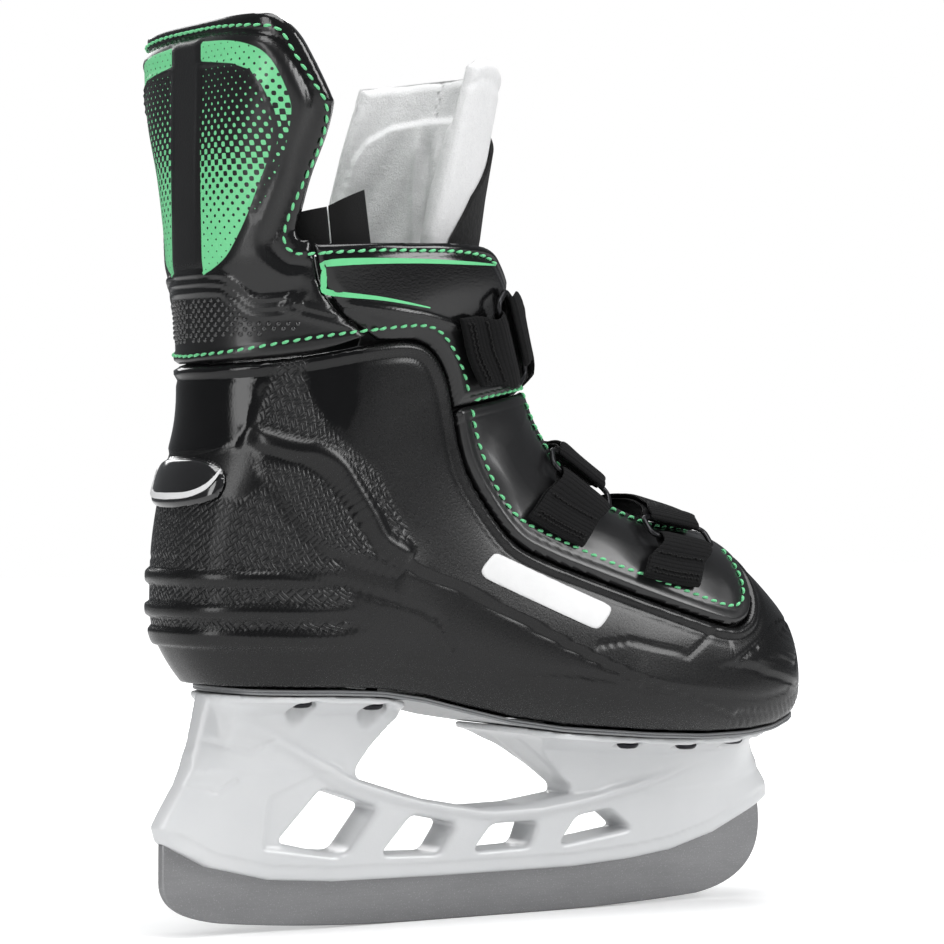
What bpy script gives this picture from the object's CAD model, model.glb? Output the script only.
"""A child's hockey ice skate with three hook-and-loop straps.

Shapes are worked out in millimetres in the skate's own frame: +X to the toe, +Y to
the inner side of the foot, +Z up, and the ice at z = 0.
"""
import math

import bmesh
import bpy
import numpy as np
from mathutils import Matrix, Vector
from mathutils.kdtree import KDTree


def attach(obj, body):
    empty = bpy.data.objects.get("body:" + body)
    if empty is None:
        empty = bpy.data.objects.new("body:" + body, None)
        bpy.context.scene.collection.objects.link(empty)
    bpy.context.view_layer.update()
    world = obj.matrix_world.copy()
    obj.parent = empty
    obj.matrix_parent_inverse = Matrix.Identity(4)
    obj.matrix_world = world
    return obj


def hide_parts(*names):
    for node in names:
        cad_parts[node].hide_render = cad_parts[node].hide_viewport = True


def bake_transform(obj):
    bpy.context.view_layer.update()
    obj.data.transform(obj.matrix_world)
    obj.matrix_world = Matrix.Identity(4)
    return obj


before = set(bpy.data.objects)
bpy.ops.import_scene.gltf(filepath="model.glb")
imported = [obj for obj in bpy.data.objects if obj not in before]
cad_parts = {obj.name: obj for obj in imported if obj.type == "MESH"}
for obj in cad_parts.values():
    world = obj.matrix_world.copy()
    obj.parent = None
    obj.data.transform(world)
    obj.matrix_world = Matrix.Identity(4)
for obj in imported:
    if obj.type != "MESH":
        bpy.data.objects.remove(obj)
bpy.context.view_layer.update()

MM = 0.001
# Millimetres that one unit of a UV map stands for.
UV_SCALE = 100.0
SIDES = {"lateral": 1, "medial": -1}

# ---------------------------------------------------------------- driving dimensions
HOLDER_HALF = 6.6
FLANGE_DROP = 2.6
SOLE_GAP = 0.8
PIECE_GAP = 0.35
WALL = 3.0
LINER_OUT = 3.5
LINER_IN = 6.5
STRAP_PROUD = 2.7
RING_WIRE = 1.5
RING_LONG = 9.0
RING_SIDE = 2.4
RING_LIFT = STRAP_PROUD + 1.6
TONGUE_THICK = 6.5

# One row per station: instep x z, sole or heel x z, half width, share of the height
# where it is widest, roundness low and high. First and last rows set end tangents.
STATIONS = np.array([
    [101.0, 65, 100.5, 61, -11, 0.45, 2.4, 2.0],
    [102.4, 71, 102.0, 57, 0, 0.45, 2.4, 2.0],
    [101.0, 77, 100.5, 53, 11, 0.45, 2.5, 2.1],
    [95.8, 84, 95.0, 50, 22, 0.43, 2.6, 2.2],
    [87.5, 93, 85.0, 47, 31, 0.40, 2.8, 2.2],
    [75.5, 103, 69.0, 45, 36.5, 0.38, 3.0, 2.2],
    [61.0, 109.5, 48.0, 46, 38.5, 0.36, 3.0, 2.15],
    [46.0, 114, 24.0, 48, 38, 0.36, 2.9, 2.1],
    [31.0, 120.5, 0.0, 51, 35.5, 0.38, 2.8, 2.1],
    [20.0, 129.5, -25.0, 55, 33.5, 0.40, 2.8, 2.1],
    [12.5, 140, -52.0, 58, 32.5, 0.42, 2.7, 2.15],
    [8.5, 150, -80.0, 60, 32.5, 0.44, 2.6, 2.2],
    [6.0, 158.5, -96.5, 77, 32.5, 0.47, 2.5, 2.2],
    [4.5, 166, -99.0, 96, 32.5, 0.50, 2.4, 2.25],
    [3.5, 172, -97.0, 115, 33, 0.52, 2.3, 2.25],
    [3.0, 178, -91.8, 137, 33.5, 0.53, 2.1, 2.3],
    [2.5, 183, -90.8, 157, 35, 0.54, 2.2, 2.3],
    [2.5, 188, -90.8, 180, 36, 0.54, 2.5, 2.3],
    [2.5, 204, -90.8, 204, 37.5, 0.54, 3.2, 2.3],
    [2.5, 224, -90.5, 224, 40.5, 0.54, 4.4, 2.3],
    [2.5, 246, -90.5, 246, 41.5, 0.54, 4.6, 2.3],
    [2.5, 268, -90.5, 268, 41.5, 0.54, 4.6, 2.3],
])
LAST_STATION = len(STATIONS) - 3

SOLE_LINE = np.array([
    [-120, 68.2], [-92, 68], [-60, 67.2], [-45, 66.4], [-33, 64.4], [-20, 61.2], [-5, 57.6],
    [11, 55], [37, 52.7], [55, 51.7], [70, 51.9], [82, 53], [92, 56], [98, 59.5], [104, 64],
])

# Seams in side view, [x, z].
SEAM = [
    [-110, 152], [-77, 154.5], [-54, 158.5], [-42, 159.5], [-35, 157], [-29.5, 150],
    [-26.5, 140], [-23, 127], [-17.5, 117.5], [-8, 106], [3, 100.5], [20, 94.5],
    [37, 88.5], [58, 82], [66, 82.5], [70.5, 87], [72.8, 94], [73.5, 101], [71, 115],
]
GUARD_EDGE = [
    [-110, 244.8], [-88, 244.6], [-83, 242.8], [-79, 239], [-75, 232.5], [-69.5, 223],
    [-68.8, 221], [-70, 213], [-73, 202], [-75, 191], [-75.4, 187.8], [-74, 185.6],
    [-71.5, 184.7], [-68, 173], [-62, 165.5], [-52, 159.2],
]
COLLAR_LINE = [[-71.5, 184.7], [-50, 185.5], [-28, 186], [-16, 185], [-10, 181], [0, 172]]
CUFF_FOOT = [[10, 147.5], [-26.5, 141.5]]
LUG = [[-110, 129], [-95.5, 129], [-91.8, 128.2], [-89.8, 125], [-90.5, 120.5], [-94, 117], [-110, 112]]
BADGE = [[-14.5, 102.5], [20, 88], [21, 86.5], [17, 82], [15, 81.5], [-19, 96], [-20, 98], [-16, 102]]
THROAT = np.array([
    [0, -1], [4.45, -1], [4.8, 12], [6, 17], [8, 15], [10, 13.5], [11.5, 15], [13, 19], [14.5, 23],
    [20, 26],
])
STRAPS = {
    "top": {"foot": [[14.19, 103], [11.83, 119]], "ring": [[13.76, 126], [10.85, 144]],
            "crown": [[12.65, 180], [9.65, 180]]},
    "mid": {"foot": [[8.75, 115], [7.56, 118]], "ring": [[8.46, 142], [7.16, 146]],
            "crown": [[8.05, 180], [6.6, 180]]},
    "toe": {"foot": [[6.4, 118], [5.43, 119]], "ring": [[6.17, 142], [5.14, 144]],
            "crown": [[5.95, 180], [4.75, 180]]},
}
TAIL_END = 3.05

# ---------------------------------------------------------------- small maths


def spline(rows, t):
    """Catmull-Rom through rows, at parameters t; the first and last rows are end tangents."""
    t = np.clip(np.asarray(t, float), 0, len(rows) - 3 - 1e-9)
    i = np.floor(t).astype(int)
    f = (t - i)[..., None]
    a, b, c, d = rows[i], rows[i + 1], rows[i + 2], rows[i + 3]
    return 0.5 * (2 * b + (c - a) * f + (2 * a - 5 * b + 4 * c - d) * f**2 + (3 * b - a - 3 * c + d) * f**3)


def smooth_line(points, per=8):
    """A denser curve through points."""
    p = np.array(points, float)
    rows = np.vstack([2 * p[0] - p[1], p, 2 * p[-1] - p[-2]])
    return spline(rows, np.linspace(0, len(p) - 1, (len(p) - 1) * per + 1))


def sole_at(x):
    return np.interp(x, SOLE_LINE[:, 0], SOLE_LINE[:, 1])


def smoothstep(low, high, x):
    f = np.clip((np.asarray(x, float) - low) / (high - low), 0, 1)
    return f * f * (3 - 2 * f)


def boot_point(t, angle, depth=0.0):
    """The boot's surface at a station and an angle round it: 0 at the sole or heel, pi at
    the instep, positive on the outer side. depth goes inward."""
    t, angle, depth = np.broadcast_arrays(np.asarray(t, float), angle, depth)
    tx, tz, bx, bz, half, widest, low, high = np.moveaxis(spline(STATIONS, t), -1, 0)
    run = np.hypot(tx - bx, tz - bz)
    dx, dz = (tx - bx) / run, (tz - bz) / run
    nose = np.maximum(0, 1 - t / 4)
    top_x, top_z = tx - depth * (dx + nose), tz - depth * dz
    foot_x, foot_z = bx + depth * (dx - nose), bz + depth * dz
    width = half - depth * np.minimum(1, half / 15)
    c, s = np.cos(angle), np.sin(angle)
    power = 2 / np.where(c > 0, low, high)
    u = -np.sign(c) * np.abs(c) ** power
    q = np.where(u < 0, widest * (1 + u), widest + (1 - widest) * u)
    x = foot_x + (top_x - foot_x) * q
    z = foot_z + (top_z - foot_z) * q
    y = -width * np.sign(s) * np.abs(s) ** power
    return np.stack([x, y, np.maximum(z, sole_at(x) + depth)], -1)


def boot_normal(t, angle, depth=0.0):
    """Outward normal of the boot's surface."""
    e = 0.01
    along = boot_point(t + e, angle, depth) - boot_point(t - e, angle, depth)
    around = boot_point(t, angle + e, depth) - boot_point(t, angle - e, depth)
    n = np.cross(around, along)
    length = np.linalg.norm(n, axis=-1, keepdims=True)
    return n / np.maximum(length, 1e-9)


def segments_distance(line, x, z, closed=False):
    """Distance to a line of segments."""
    line = np.asarray(line, float)
    ends = np.roll(line, -1, axis=0) if closed else line[1:]
    starts = line if closed else line[:-1]
    best = np.full(np.shape(x), np.inf)
    for (ax, az), (bx, bz) in zip(starts, ends):
        ex, ez = bx - ax, bz - az
        length = math.hypot(ex, ez)
        f = np.clip(((x - ax) * ex + (z - az) * ez) / max(length**2, 1e-12), 0, 1)
        best = np.minimum(best, np.hypot(x - ax - ex * f, z - az - ez * f))
    return best


def inside(outline, x, z):
    outline = np.asarray(outline, float)
    odd = np.zeros(np.shape(x), bool)
    for (ax, az), (bx, bz) in zip(outline, np.roll(outline, -1, axis=0)):
        if az == bz:
            continue
        crosses = ((az > z) != (bz > z)) & (x < ax + (z - az) * (bx - ax) / (bz - az))
        odd ^= crosses
    return odd


def outline_distance(outline, x, z):
    """Signed distance to a closed outline, negative inside."""
    d = segments_distance(outline, x, z, closed=True)
    return np.where(inside(outline, x, z), -d, d)


def side_of(line, x, z):
    """Signed distance to an open line, positive above it."""
    line = np.asarray(line, float)
    d = segments_distance(line, x, z)
    return np.where(z > np.interp(x, line[:, 0], line[:, 1]), d, -d)


# ---------------------------------------------------------------- meshes


def new_mesh(name, points, faces, smooth=True):
    """An object from points in millimetres."""
    mesh = bpy.data.meshes.new(name)
    mesh.from_pydata((np.asarray(points, float) * MM).tolist(), [], [tuple(f) for f in faces])
    if smooth:
        mesh.polygons.foreach_set("use_smooth", [True] * len(mesh.polygons))
    mesh.update()
    obj = bpy.data.objects.new(name, mesh)
    bpy.context.scene.collection.objects.link(obj)
    return obj


def weld(obj, reach=0.004):
    """Joins vertices closer than reach millimetres and turns the faces outward."""
    bm = bmesh.new()
    bm.from_mesh(obj.data)
    bmesh.ops.remove_doubles(bm, verts=bm.verts, dist=reach * MM)
    bmesh.ops.dissolve_degenerate(bm, edges=bm.edges, dist=1e-7)
    bmesh.ops.recalc_face_normals(bm, faces=bm.faces)
    bm.to_mesh(obj.data)
    bm.free()
    return obj


def point_attribute(obj, name, values):
    attribute = obj.data.attributes.new(name, "FLOAT", "POINT")
    attribute.data.foreach_set("value", np.asarray(values, np.float32))


def uv_layer(obj, uv):
    """A UV map from one pair of millimetres per vertex."""
    layer = obj.data.uv_layers.new(name="UVMap")
    loops = np.zeros(len(obj.data.loops), np.int32)
    obj.data.loops.foreach_get("vertex_index", loops)
    layer.data.foreach_set("uv", (np.asarray(uv, np.float32)[loops] / UV_SCALE).ravel())


def grid_faces(rows, columns, closed=False, offset=0):
    """Quads of a grid of rows times columns points; closed joins the last column to the first."""
    i, j = np.meshgrid(np.arange(rows - 1), np.arange(columns if closed else columns - 1), indexing="ij")
    k = (j + 1) % columns
    quads = np.stack([i * columns + j, (i + 1) * columns + j, (i + 1) * columns + k, i * columns + k], -1)
    return (quads.reshape(-1, 4) + offset).tolist()


def slab(name, outer, inner, closed_columns=False):
    """A closed sheet between two grids of points (rows, columns, 3)."""
    rows, columns = outer.shape[:2]
    count = rows * columns
    faces = grid_faces(rows, columns, closed_columns)
    faces += [f[::-1] for f in grid_faces(rows, columns, closed_columns, count)]
    first = list(range(columns))
    last = [(rows - 1) * columns + j for j in range(columns)]
    if closed_columns:
        first.append(0)
        last.append((rows - 1) * columns)
    loops = [first, last[::-1]]
    if not closed_columns:
        loops += [[i * columns for i in range(rows)][::-1],
                  [i * columns + columns - 1 for i in range(rows)]]
    for loop in loops:
        faces += [(a, b, b + count, a + count) for a, b in zip(loop, loop[1:])]
    obj = new_mesh(name, np.concatenate([outer.reshape(-1, 3), inner.reshape(-1, 3)]), faces)
    return weld(obj)


def lathe(name, profile, centre, sides=32):
    """A turned piece about an upright axis from (radius, height) pairs, closed at the axis."""
    profile = np.asarray(profile, float)
    a = np.linspace(0, 2 * np.pi, sides, endpoint=False)
    rings = np.stack([
        profile[:, 0, None] * np.cos(a), profile[:, 0, None] * np.sin(a),
        profile[:, 1, None] * np.ones(sides),
    ], -1) + np.asarray(centre, float)
    return weld(new_mesh(name, rings.reshape(-1, 3), grid_faces(len(profile), sides, closed=True)))


# ---------------------------------------------------------------- skins of the boot


STATION_STEPS = 380
ANGLE_STEPS = 360


class Grid:
    """Stations and angles over a stretch of the boot, with its surface and arc lengths."""

    def __init__(self, rows, half_columns=None, angles=None):
        rows = np.asarray(rows, float)
        if half_columns:
            fine = np.linspace(0, np.pi, ANGLE_STEPS + 1)
            points = boot_point(rows[:, None], fine[None])
            arc = np.cumsum(np.linalg.norm(np.diff(points, axis=1), axis=2), axis=1)
            arc = np.concatenate([np.zeros((len(rows), 1)), arc], 1)
            half = []
            for i in range(len(rows)):
                wanted = np.linspace(0, max(arc[i, -1], 1e-6), half_columns + 1)
                half.append(np.interp(wanted, arc[i] + np.arange(ANGLE_STEPS + 1) * 1e-9, fine))
            half = np.array(half)
            self.angle = np.concatenate([half, -half[:, -2:0:-1]], 1)
            self.closed = True
        else:
            self.angle = np.broadcast_to(np.asarray(angles, float), (len(rows), len(angles))).copy()
            self.closed = False
        self.t = np.broadcast_to(rows[:, None], self.angle.shape).copy()
        self.point = boot_point(self.t, self.angle)
        self.arc = ARC.at(self.t, self.angle)


class ArcTable:
    """Length round a section from the middle of the heel or sole, signed by side."""

    def __init__(self):
        self.rows = np.linspace(0, LAST_STATION, STATION_STEPS + 1)
        self.fine = np.linspace(0, np.pi, ANGLE_STEPS + 1)
        points = boot_point(self.rows[:, None], self.fine[None])
        arc = np.cumsum(np.linalg.norm(np.diff(points, axis=1), axis=2), axis=1)
        self.table = np.concatenate([np.zeros((len(self.rows), 1)), arc], 1)

    def at(self, t, angle):
        turned = np.mod(np.asarray(angle, float) + np.pi, 2 * np.pi) - np.pi
        u = np.clip(np.asarray(t, float) / LAST_STATION * STATION_STEPS, 0, STATION_STEPS - 0.001)
        v = np.clip(np.abs(turned) / np.pi * ANGLE_STEPS, 0, ANGLE_STEPS - 0.001)
        i, j = u.astype(int), v.astype(int)
        f, g = u - i, v - j
        low = self.table[i, j] * (1 - g) + self.table[i, j + 1] * g
        high = self.table[i + 1, j] * (1 - g) + self.table[i + 1, j + 1] * g
        return np.sign(turned) * (low * (1 - f) + high * f)


ARC = ArcTable()


def skin(name, grid, region, outer, inner, height=None, roll=1.0):
    """A layer of the boot between two depths, where region is negative, with its rim
    rolled over and height added outward. Cells on the region's edge are cut along it."""
    t, angle, p = grid.t, grid.angle, grid.point
    arc = grid.arc
    g = region(p, t, arc) if region else np.full(t.shape, -9.0)
    lift = height(p, t, arc) if height else np.zeros(t.shape)
    edge = np.clip(-g, 0, roll)
    lift = lift * smoothstep(0, roll, -g) - (roll - np.sqrt(np.maximum(roll**2 - (roll - edge) ** 2, 0)))
    normal = boot_normal(t, angle, outer)
    top = boot_point(t, angle, outer) + normal * lift[..., None]
    bottom = boot_point(t, angle, inner)
    rows, columns = t.shape
    keep = g <= 0
    nxt = (np.arange(columns) + 1) % columns
    inside_cells = keep[:-1] & keep[1:] & keep[:-1][:, nxt] & keep[1:][:, nxt]
    some = keep[:-1] | keep[1:] | keep[:-1][:, nxt] | keep[1:][:, nxt]
    if not grid.closed:
        inside_cells[:, -1] = False
        some[:, -1] = False
    flat_top, flat_bottom = top.reshape(-1, 3), bottom.reshape(-1, 3)
    uv = np.stack([arc, p[..., 2]], -1).reshape(-1, 2)
    flat_g = g.reshape(-1)
    index = -np.ones(rows * columns, int)
    tops, bottoms, uvs = [], [], []

    def vertex(k):
        if index[k] < 0:
            index[k] = len(tops)
            tops.append(flat_top[k])
            bottoms.append(flat_bottom[k])
            uvs.append(uv[k])
        return index[k]

    cuts = {}

    def cut(a, b):
        key = (min(a, b), max(a, b))
        if key not in cuts:
            f = np.clip(flat_g[a] / (flat_g[a] - flat_g[b]), 0.05, 0.95)
            cuts[key] = len(tops)
            tops.append(flat_top[a] * (1 - f) + flat_top[b] * f)
            bottoms.append(flat_bottom[a] * (1 - f) + flat_bottom[b] * f)
            uvs.append(uv[a] * (1 - f) + uv[b] * f)
        return cuts[key]

    faces = []
    for i, j in zip(*np.nonzero(inside_cells)):
        faces.append([vertex(k) for k in (i * columns + j, (i + 1) * columns + j,
                                          (i + 1) * columns + nxt[j], i * columns + nxt[j])])
    for i, j in zip(*np.nonzero(some & ~inside_cells)):
        corners = (i * columns + j, (i + 1) * columns + j, (i + 1) * columns + nxt[j], i * columns + nxt[j])
        ring = []
        for a, b in zip(corners, corners[1:] + corners[:1]):
            if flat_g[a] <= 0:
                ring.append(vertex(a))
            if (flat_g[a] <= 0) != (flat_g[b] <= 0):
                ring.append(cut(a, b))
        if len(ring) >= 3:
            faces.append(ring)
    count = len(tops)
    used = set()
    for f in faces:
        used.update(zip(f, f[1:] + f[:1]))
    walls = [(b, a, a + count, b + count) for a, b in used if (b, a) not in used]
    faces = faces + [[v + count for v in reversed(f)] for f in faces] + walls
    obj = new_mesh(name, np.array(tops + bottoms), faces)
    uv_layer(obj, np.array(uvs + uvs))
    return weld(obj)


def mesh_coordinates(obj):
    """(x, y, z) in millimetres of each vertex, and its (arc, z) pair from the UV map."""
    count = len(obj.data.vertices)
    co = np.zeros(count * 3)
    obj.data.vertices.foreach_get("co", co)
    loops = np.zeros(len(obj.data.loops), np.int32)
    obj.data.loops.foreach_get("vertex_index", loops)
    uv = np.zeros(len(obj.data.loops) * 2)
    obj.data.uv_layers[0].data.foreach_get("uv", uv)
    pairs = np.zeros((count, 2))
    pairs[loops] = uv.reshape(-1, 2) * UV_SCALE
    return co.reshape(-1, 3) / MM, pairs


# ---------------------------------------------------------------- materials


class Paint:
    """A node material with a Principled BSDF and short ways to add nodes."""

    def __init__(self, name, **values):
        self.material = bpy.data.materials.new(name)
        self.material.use_nodes = True
        self.tree = self.material.node_tree
        self.bsdf = self.tree.nodes["Principled BSDF"]
        for key, value in values.items():
            socket = self.bsdf.inputs[key.replace("_", " ")]
            socket.default_value = (*value, 1) if isinstance(value, tuple) else value

    def node(self, kind, settings=None, **inputs):
        made = self.tree.nodes.new("ShaderNode" + kind)
        for key, value in (settings or {}).items():
            setattr(made, key, value)
        for key, value in inputs.items():
            name = key.replace("_", " ")
            socket = made.inputs[int(key[1:])] if key[0] == "i" and key[1:].isdigit() else made.inputs[name]
            self.put(socket, value)
        return made

    def put(self, socket, value):
        if isinstance(value, bpy.types.NodeSocket):
            self.tree.links.new(value, socket)
        elif isinstance(value, tuple) and len(value) == 3 and socket.type == "RGBA":
            socket.default_value = (*value, 1)
        else:
            socket.default_value = value

    def math(self, operation, a, b=0.0, c=0.0):
        return self.node("Math", {"operation": operation}, i0=a, i1=b, i2=c).outputs[0]

    def ramp(self, value, low, high, to_low=0.0, to_high=1.0):
        made = self.node("MapRange", {"interpolation_type": "SMOOTHSTEP"}, Value=value)
        for name, number in (("From Min", low), ("From Max", high), ("To Min", to_low),
                             ("To Max", to_high)):
            made.inputs[name].default_value = number
        return made.outputs[0]

    def attribute(self, name):
        return self.node("Attribute", {"attribute_name": name}).outputs["Fac"]

    def place(self):
        return self.node("TexCoord").outputs["Object"]

    def uv(self):
        """(u, v) of the UV map in millimetres."""
        split = self.node("SeparateXYZ", None, Vector=self.node("TexCoord").outputs["UV"])
        return tuple(self.math("MULTIPLY", split.outputs[k], UV_SCALE) for k in (0, 1))

    def noise(self, size, detail=3.0, rough=0.55, where=None, stretch=None):
        """Noise whose features are about size millimetres."""
        where = where or self.place()
        if stretch:
            where = self.node("Mapping", None, Vector=where, Scale=stretch).outputs[0]
        made = self.node("TexNoise", None, Vector=where)
        made.inputs["Scale"].default_value = 1 / (size * MM)
        made.inputs["Detail"].default_value = detail
        made.inputs["Roughness"].default_value = rough
        return made.outputs["Fac"]

    def mix(self, factor, a, b):
        made = self.node("Mix", {"data_type": "RGBA"})
        self.put(made.inputs["Factor"], factor)
        self.put(made.inputs[6], a)
        self.put(made.inputs[7], b)
        return made.outputs[2]

    def bump(self, height, distance, strength=1.0, after=None):
        """A bump of height times distance millimetres."""
        made = self.node("Bump", None, Height=height)
        made.inputs["Distance"].default_value = distance * MM
        made.inputs["Strength"].default_value = strength
        if after:
            self.tree.links.new(after, made.inputs["Normal"])
        return made.outputs[0]

    def set(self, **sockets):
        for key, value in sockets.items():
            self.put(self.bsdf.inputs[key.replace("_", " ")], value)
        return self.material


def weave_height(p, cell, turn=0.6):
    """Height of a basket weave of strips in pairs, on the UV map."""
    u, v = p.uv()
    c, s = math.cos(turn), math.sin(turn)
    a = p.math("ADD", p.math("MULTIPLY", u, c / cell), p.math("MULTIPLY", v, s / cell))
    b = p.math("SUBTRACT", p.math("MULTIPLY", v, c / cell), p.math("MULTIPLY", u, s / cell))
    parity = p.math("MODULO", p.math("ADD", p.math("FLOOR", a), p.math("FLOOR", b)), 2.0)
    across = p.mix(p.math("ABSOLUTE", parity), p.math("FRACT", a), p.math("FRACT", b))
    strips = p.math("ABSOLUTE", p.math("SINE", p.math("MULTIPLY", across, 2 * math.pi)))
    ends = p.mix(p.math("ABSOLUTE", parity), p.math("FRACT", b), p.math("FRACT", a))
    swell = p.math("SINE", p.math("MULTIPLY", ends, math.pi))
    return p.math("MULTIPLY", p.math("POWER", strips, 0.5), p.math("POWER", swell, 0.4))


def shell_material():
    p = Paint("shell_composite", Coat_Weight=0.1, Coat_Roughness=0.12, Specular_IOR_Level=0.3)
    weave = p.attribute("weave")
    gloss = p.attribute("gloss")
    cloud = p.noise(9)
    grain = p.noise(0.55, 2)
    base = p.mix(cloud, (0.003, 0.003, 0.0032), (0.006, 0.006, 0.0063))
    base = p.mix(p.math("MULTIPLY", weave, p.ramp(weave_height(p, 2.6), 0.1, 0.8)), base,
                 (0.014, 0.014, 0.0145))
    rough = p.math("ADD", 0.22, p.math("MULTIPLY", grain, 0.12))
    rough = p.math("SUBTRACT", rough, p.math("MULTIPLY", gloss, 0.2))
    fine = p.bump(grain, 0.03, 1.0)
    normal = p.bump(p.math("MULTIPLY", weave, weave_height(p, 2.6)), 0.35, 1.0, fine)
    return p.set(Base_Color=base, Roughness=p.math("MAXIMUM", rough, 0.07), Normal=normal)


def halftone(p, u, v, pitch, level):
    """1 where a lattice of dots at 45 degrees passes a level."""
    wave = p.math("MULTIPLY", p.math("COSINE", p.math("MULTIPLY", u, 2 * math.pi / pitch)),
                  p.math("COSINE", p.math("MULTIPLY", v, 2 * math.pi / pitch)))
    return p.ramp(p.math("SUBTRACT", wave, level), -0.05, 0.05)


def guard_material():
    p = Paint("guard_plastic", Coat_Weight=0.25, Coat_Roughness=0.12, Specular_IOR_Level=0.35)
    u, v = p.uv()
    side = p.math("ABSOLUTE", u)
    pitch = 3.1
    zone_level = p.ramp(v, 180, 234, -0.93, 0.96)
    zone = p.math("MULTIPLY", halftone(p, side, v, pitch, zone_level),
                  p.ramp(p.attribute("zone"), 0.12, -0.12))
    band_level = p.ramp(v, 196, 240, 0.95, -0.95)
    band = p.math("MULTIPLY", halftone(p, side, v, pitch, band_level),
                  p.ramp(p.attribute("band"), 0.12, -0.12))
    printed = p.math("MAXIMUM", zone, band)
    grain = p.noise(0.6, 2)
    black = p.mix(p.noise(12), (0.004, 0.004, 0.0042), (0.008, 0.008, 0.0084))
    base = p.mix(printed, black, p.mix(p.noise(7), (0.14, 0.58, 0.26), (0.19, 0.66, 0.31)))
    matte = p.attribute("matte")
    rough = p.math("ADD", 0.1, p.math("MULTIPLY", matte, 0.24))
    rough = p.math("ADD", rough, p.math("MULTIPLY", grain, 0.07))
    rough = p.math("ADD", rough, p.math("MULTIPLY", printed, 0.12))
    normal = p.bump(grain, 0.05, 0.8, p.bump(printed, 0.06))
    return p.set(Base_Color=base, Roughness=rough, Normal=normal)


def gloss_material(name, colour=(0.008, 0.008, 0.0085), rough=0.1):
    p = Paint(name, Roughness=rough, Coat_Weight=0.6, Coat_Roughness=0.05)
    base = p.mix(p.noise(8), colour, tuple(c * 1.6 for c in colour))
    wear = p.math("MULTIPLY", p.noise(1.4, 4), 0.08)
    return p.set(Base_Color=base, Roughness=p.math("ADD", rough, wear),
                 Normal=p.bump(p.noise(5, 2), 0.12, 0.6))


def patent_material():
    p = Paint("patent_leather", Coat_Weight=0.25, Coat_Roughness=0.12, Specular_IOR_Level=0.4)
    base = p.mix(p.noise(10), (0.006, 0.006, 0.0065), (0.011, 0.011, 0.0115))
    normal = p.bump(p.noise(12, 1), 0.22, 0.5, p.bump(p.noise(0.7, 2), 0.008))
    rough = p.math("ADD", 0.27, p.math("MULTIPLY", p.noise(1.2, 3), 0.1))
    return p.set(Base_Color=base, Roughness=rough, Normal=normal)


def holder_material():
    p = Paint("holder_plastic", Coat_Weight=0.3, Coat_Roughness=0.18, Subsurface_Weight=0.12,
              Subsurface_Scale=0.004)
    p.bsdf.inputs["Subsurface Radius"].default_value = (1.0, 0.95, 0.9)
    low = p.noise(16)
    base = p.mix(low, (0.59, 0.60, 0.61), (0.65, 0.655, 0.66))
    scuffs = p.ramp(p.noise(1.1, 5, 0.7, stretch=(1, 1, 4)), 0.62, 0.74)
    base = p.mix(p.math("MULTIPLY", scuffs, 0.1), base, (0.52, 0.53, 0.54))
    rough = p.math("ADD", 0.27, p.math("MULTIPLY", p.noise(0.9, 3), 0.16))
    return p.set(Base_Color=base, Roughness=rough, Normal=p.bump(p.noise(0.8, 2), 0.03, 0.7))


def steel_material(name="runner_steel", colour=(0.26, 0.26, 0.265), grain=(0.05, 1, 1), rough=0.34):
    p = Paint(name, Metallic=1.0, Anisotropic=0.5)
    lines = p.noise(0.5, 4, 0.7, stretch=grain)
    broad = p.noise(7, 3, stretch=(0.3, 1, 1))
    dark = tuple(c * 0.72 for c in colour)
    base = p.mix(p.math("MULTIPLY", p.math("ADD", lines, broad), 0.5), dark,
                 tuple(c * 1.35 for c in colour))
    speck = p.ramp(p.noise(0.35, 1), 0.60, 0.72)
    base = p.mix(p.math("MULTIPLY", speck, 0.35), base, tuple(c * 1.9 for c in colour))
    roughness = p.math("ADD", rough, p.math("MULTIPLY", lines, 0.22))
    return p.set(Base_Color=base, Roughness=roughness, Normal=p.bump(lines, 0.035, 0.8))


def webbing_material(name, colour, rib=1.25, depth=0.22):
    """Ribs across the strap: the UV map's v runs along it."""
    p = Paint(name, Sheen_Weight=0.02, Sheen_Roughness=0.5, Specular_IOR_Level=0.12)
    u, v = p.uv()
    ribs = p.math("ABSOLUTE", p.math("SINE", p.math("MULTIPLY", v, math.pi / rib)))
    yarn = p.math("ABSOLUTE", p.math("SINE", p.math("MULTIPLY", u, math.pi / 0.55)))
    fuzz = p.noise(0.35, 4, 0.7)
    height = p.math("ADD", p.math("MULTIPLY", p.math("POWER", ribs, 0.6), 0.7),
                    p.math("MULTIPLY", yarn, 0.3))
    height = p.math("ADD", height, p.math("MULTIPLY", fuzz, 0.25))
    base = p.mix(p.math("MULTIPLY", height, 0.8), tuple(c * 0.35 for c in colour),
                 tuple(c * 1.5 for c in colour))
    rough = p.math("ADD", 0.68, p.math("MULTIPLY", fuzz, 0.2))
    return p.set(Base_Color=base, Roughness=rough, Normal=p.bump(height, depth))


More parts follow.
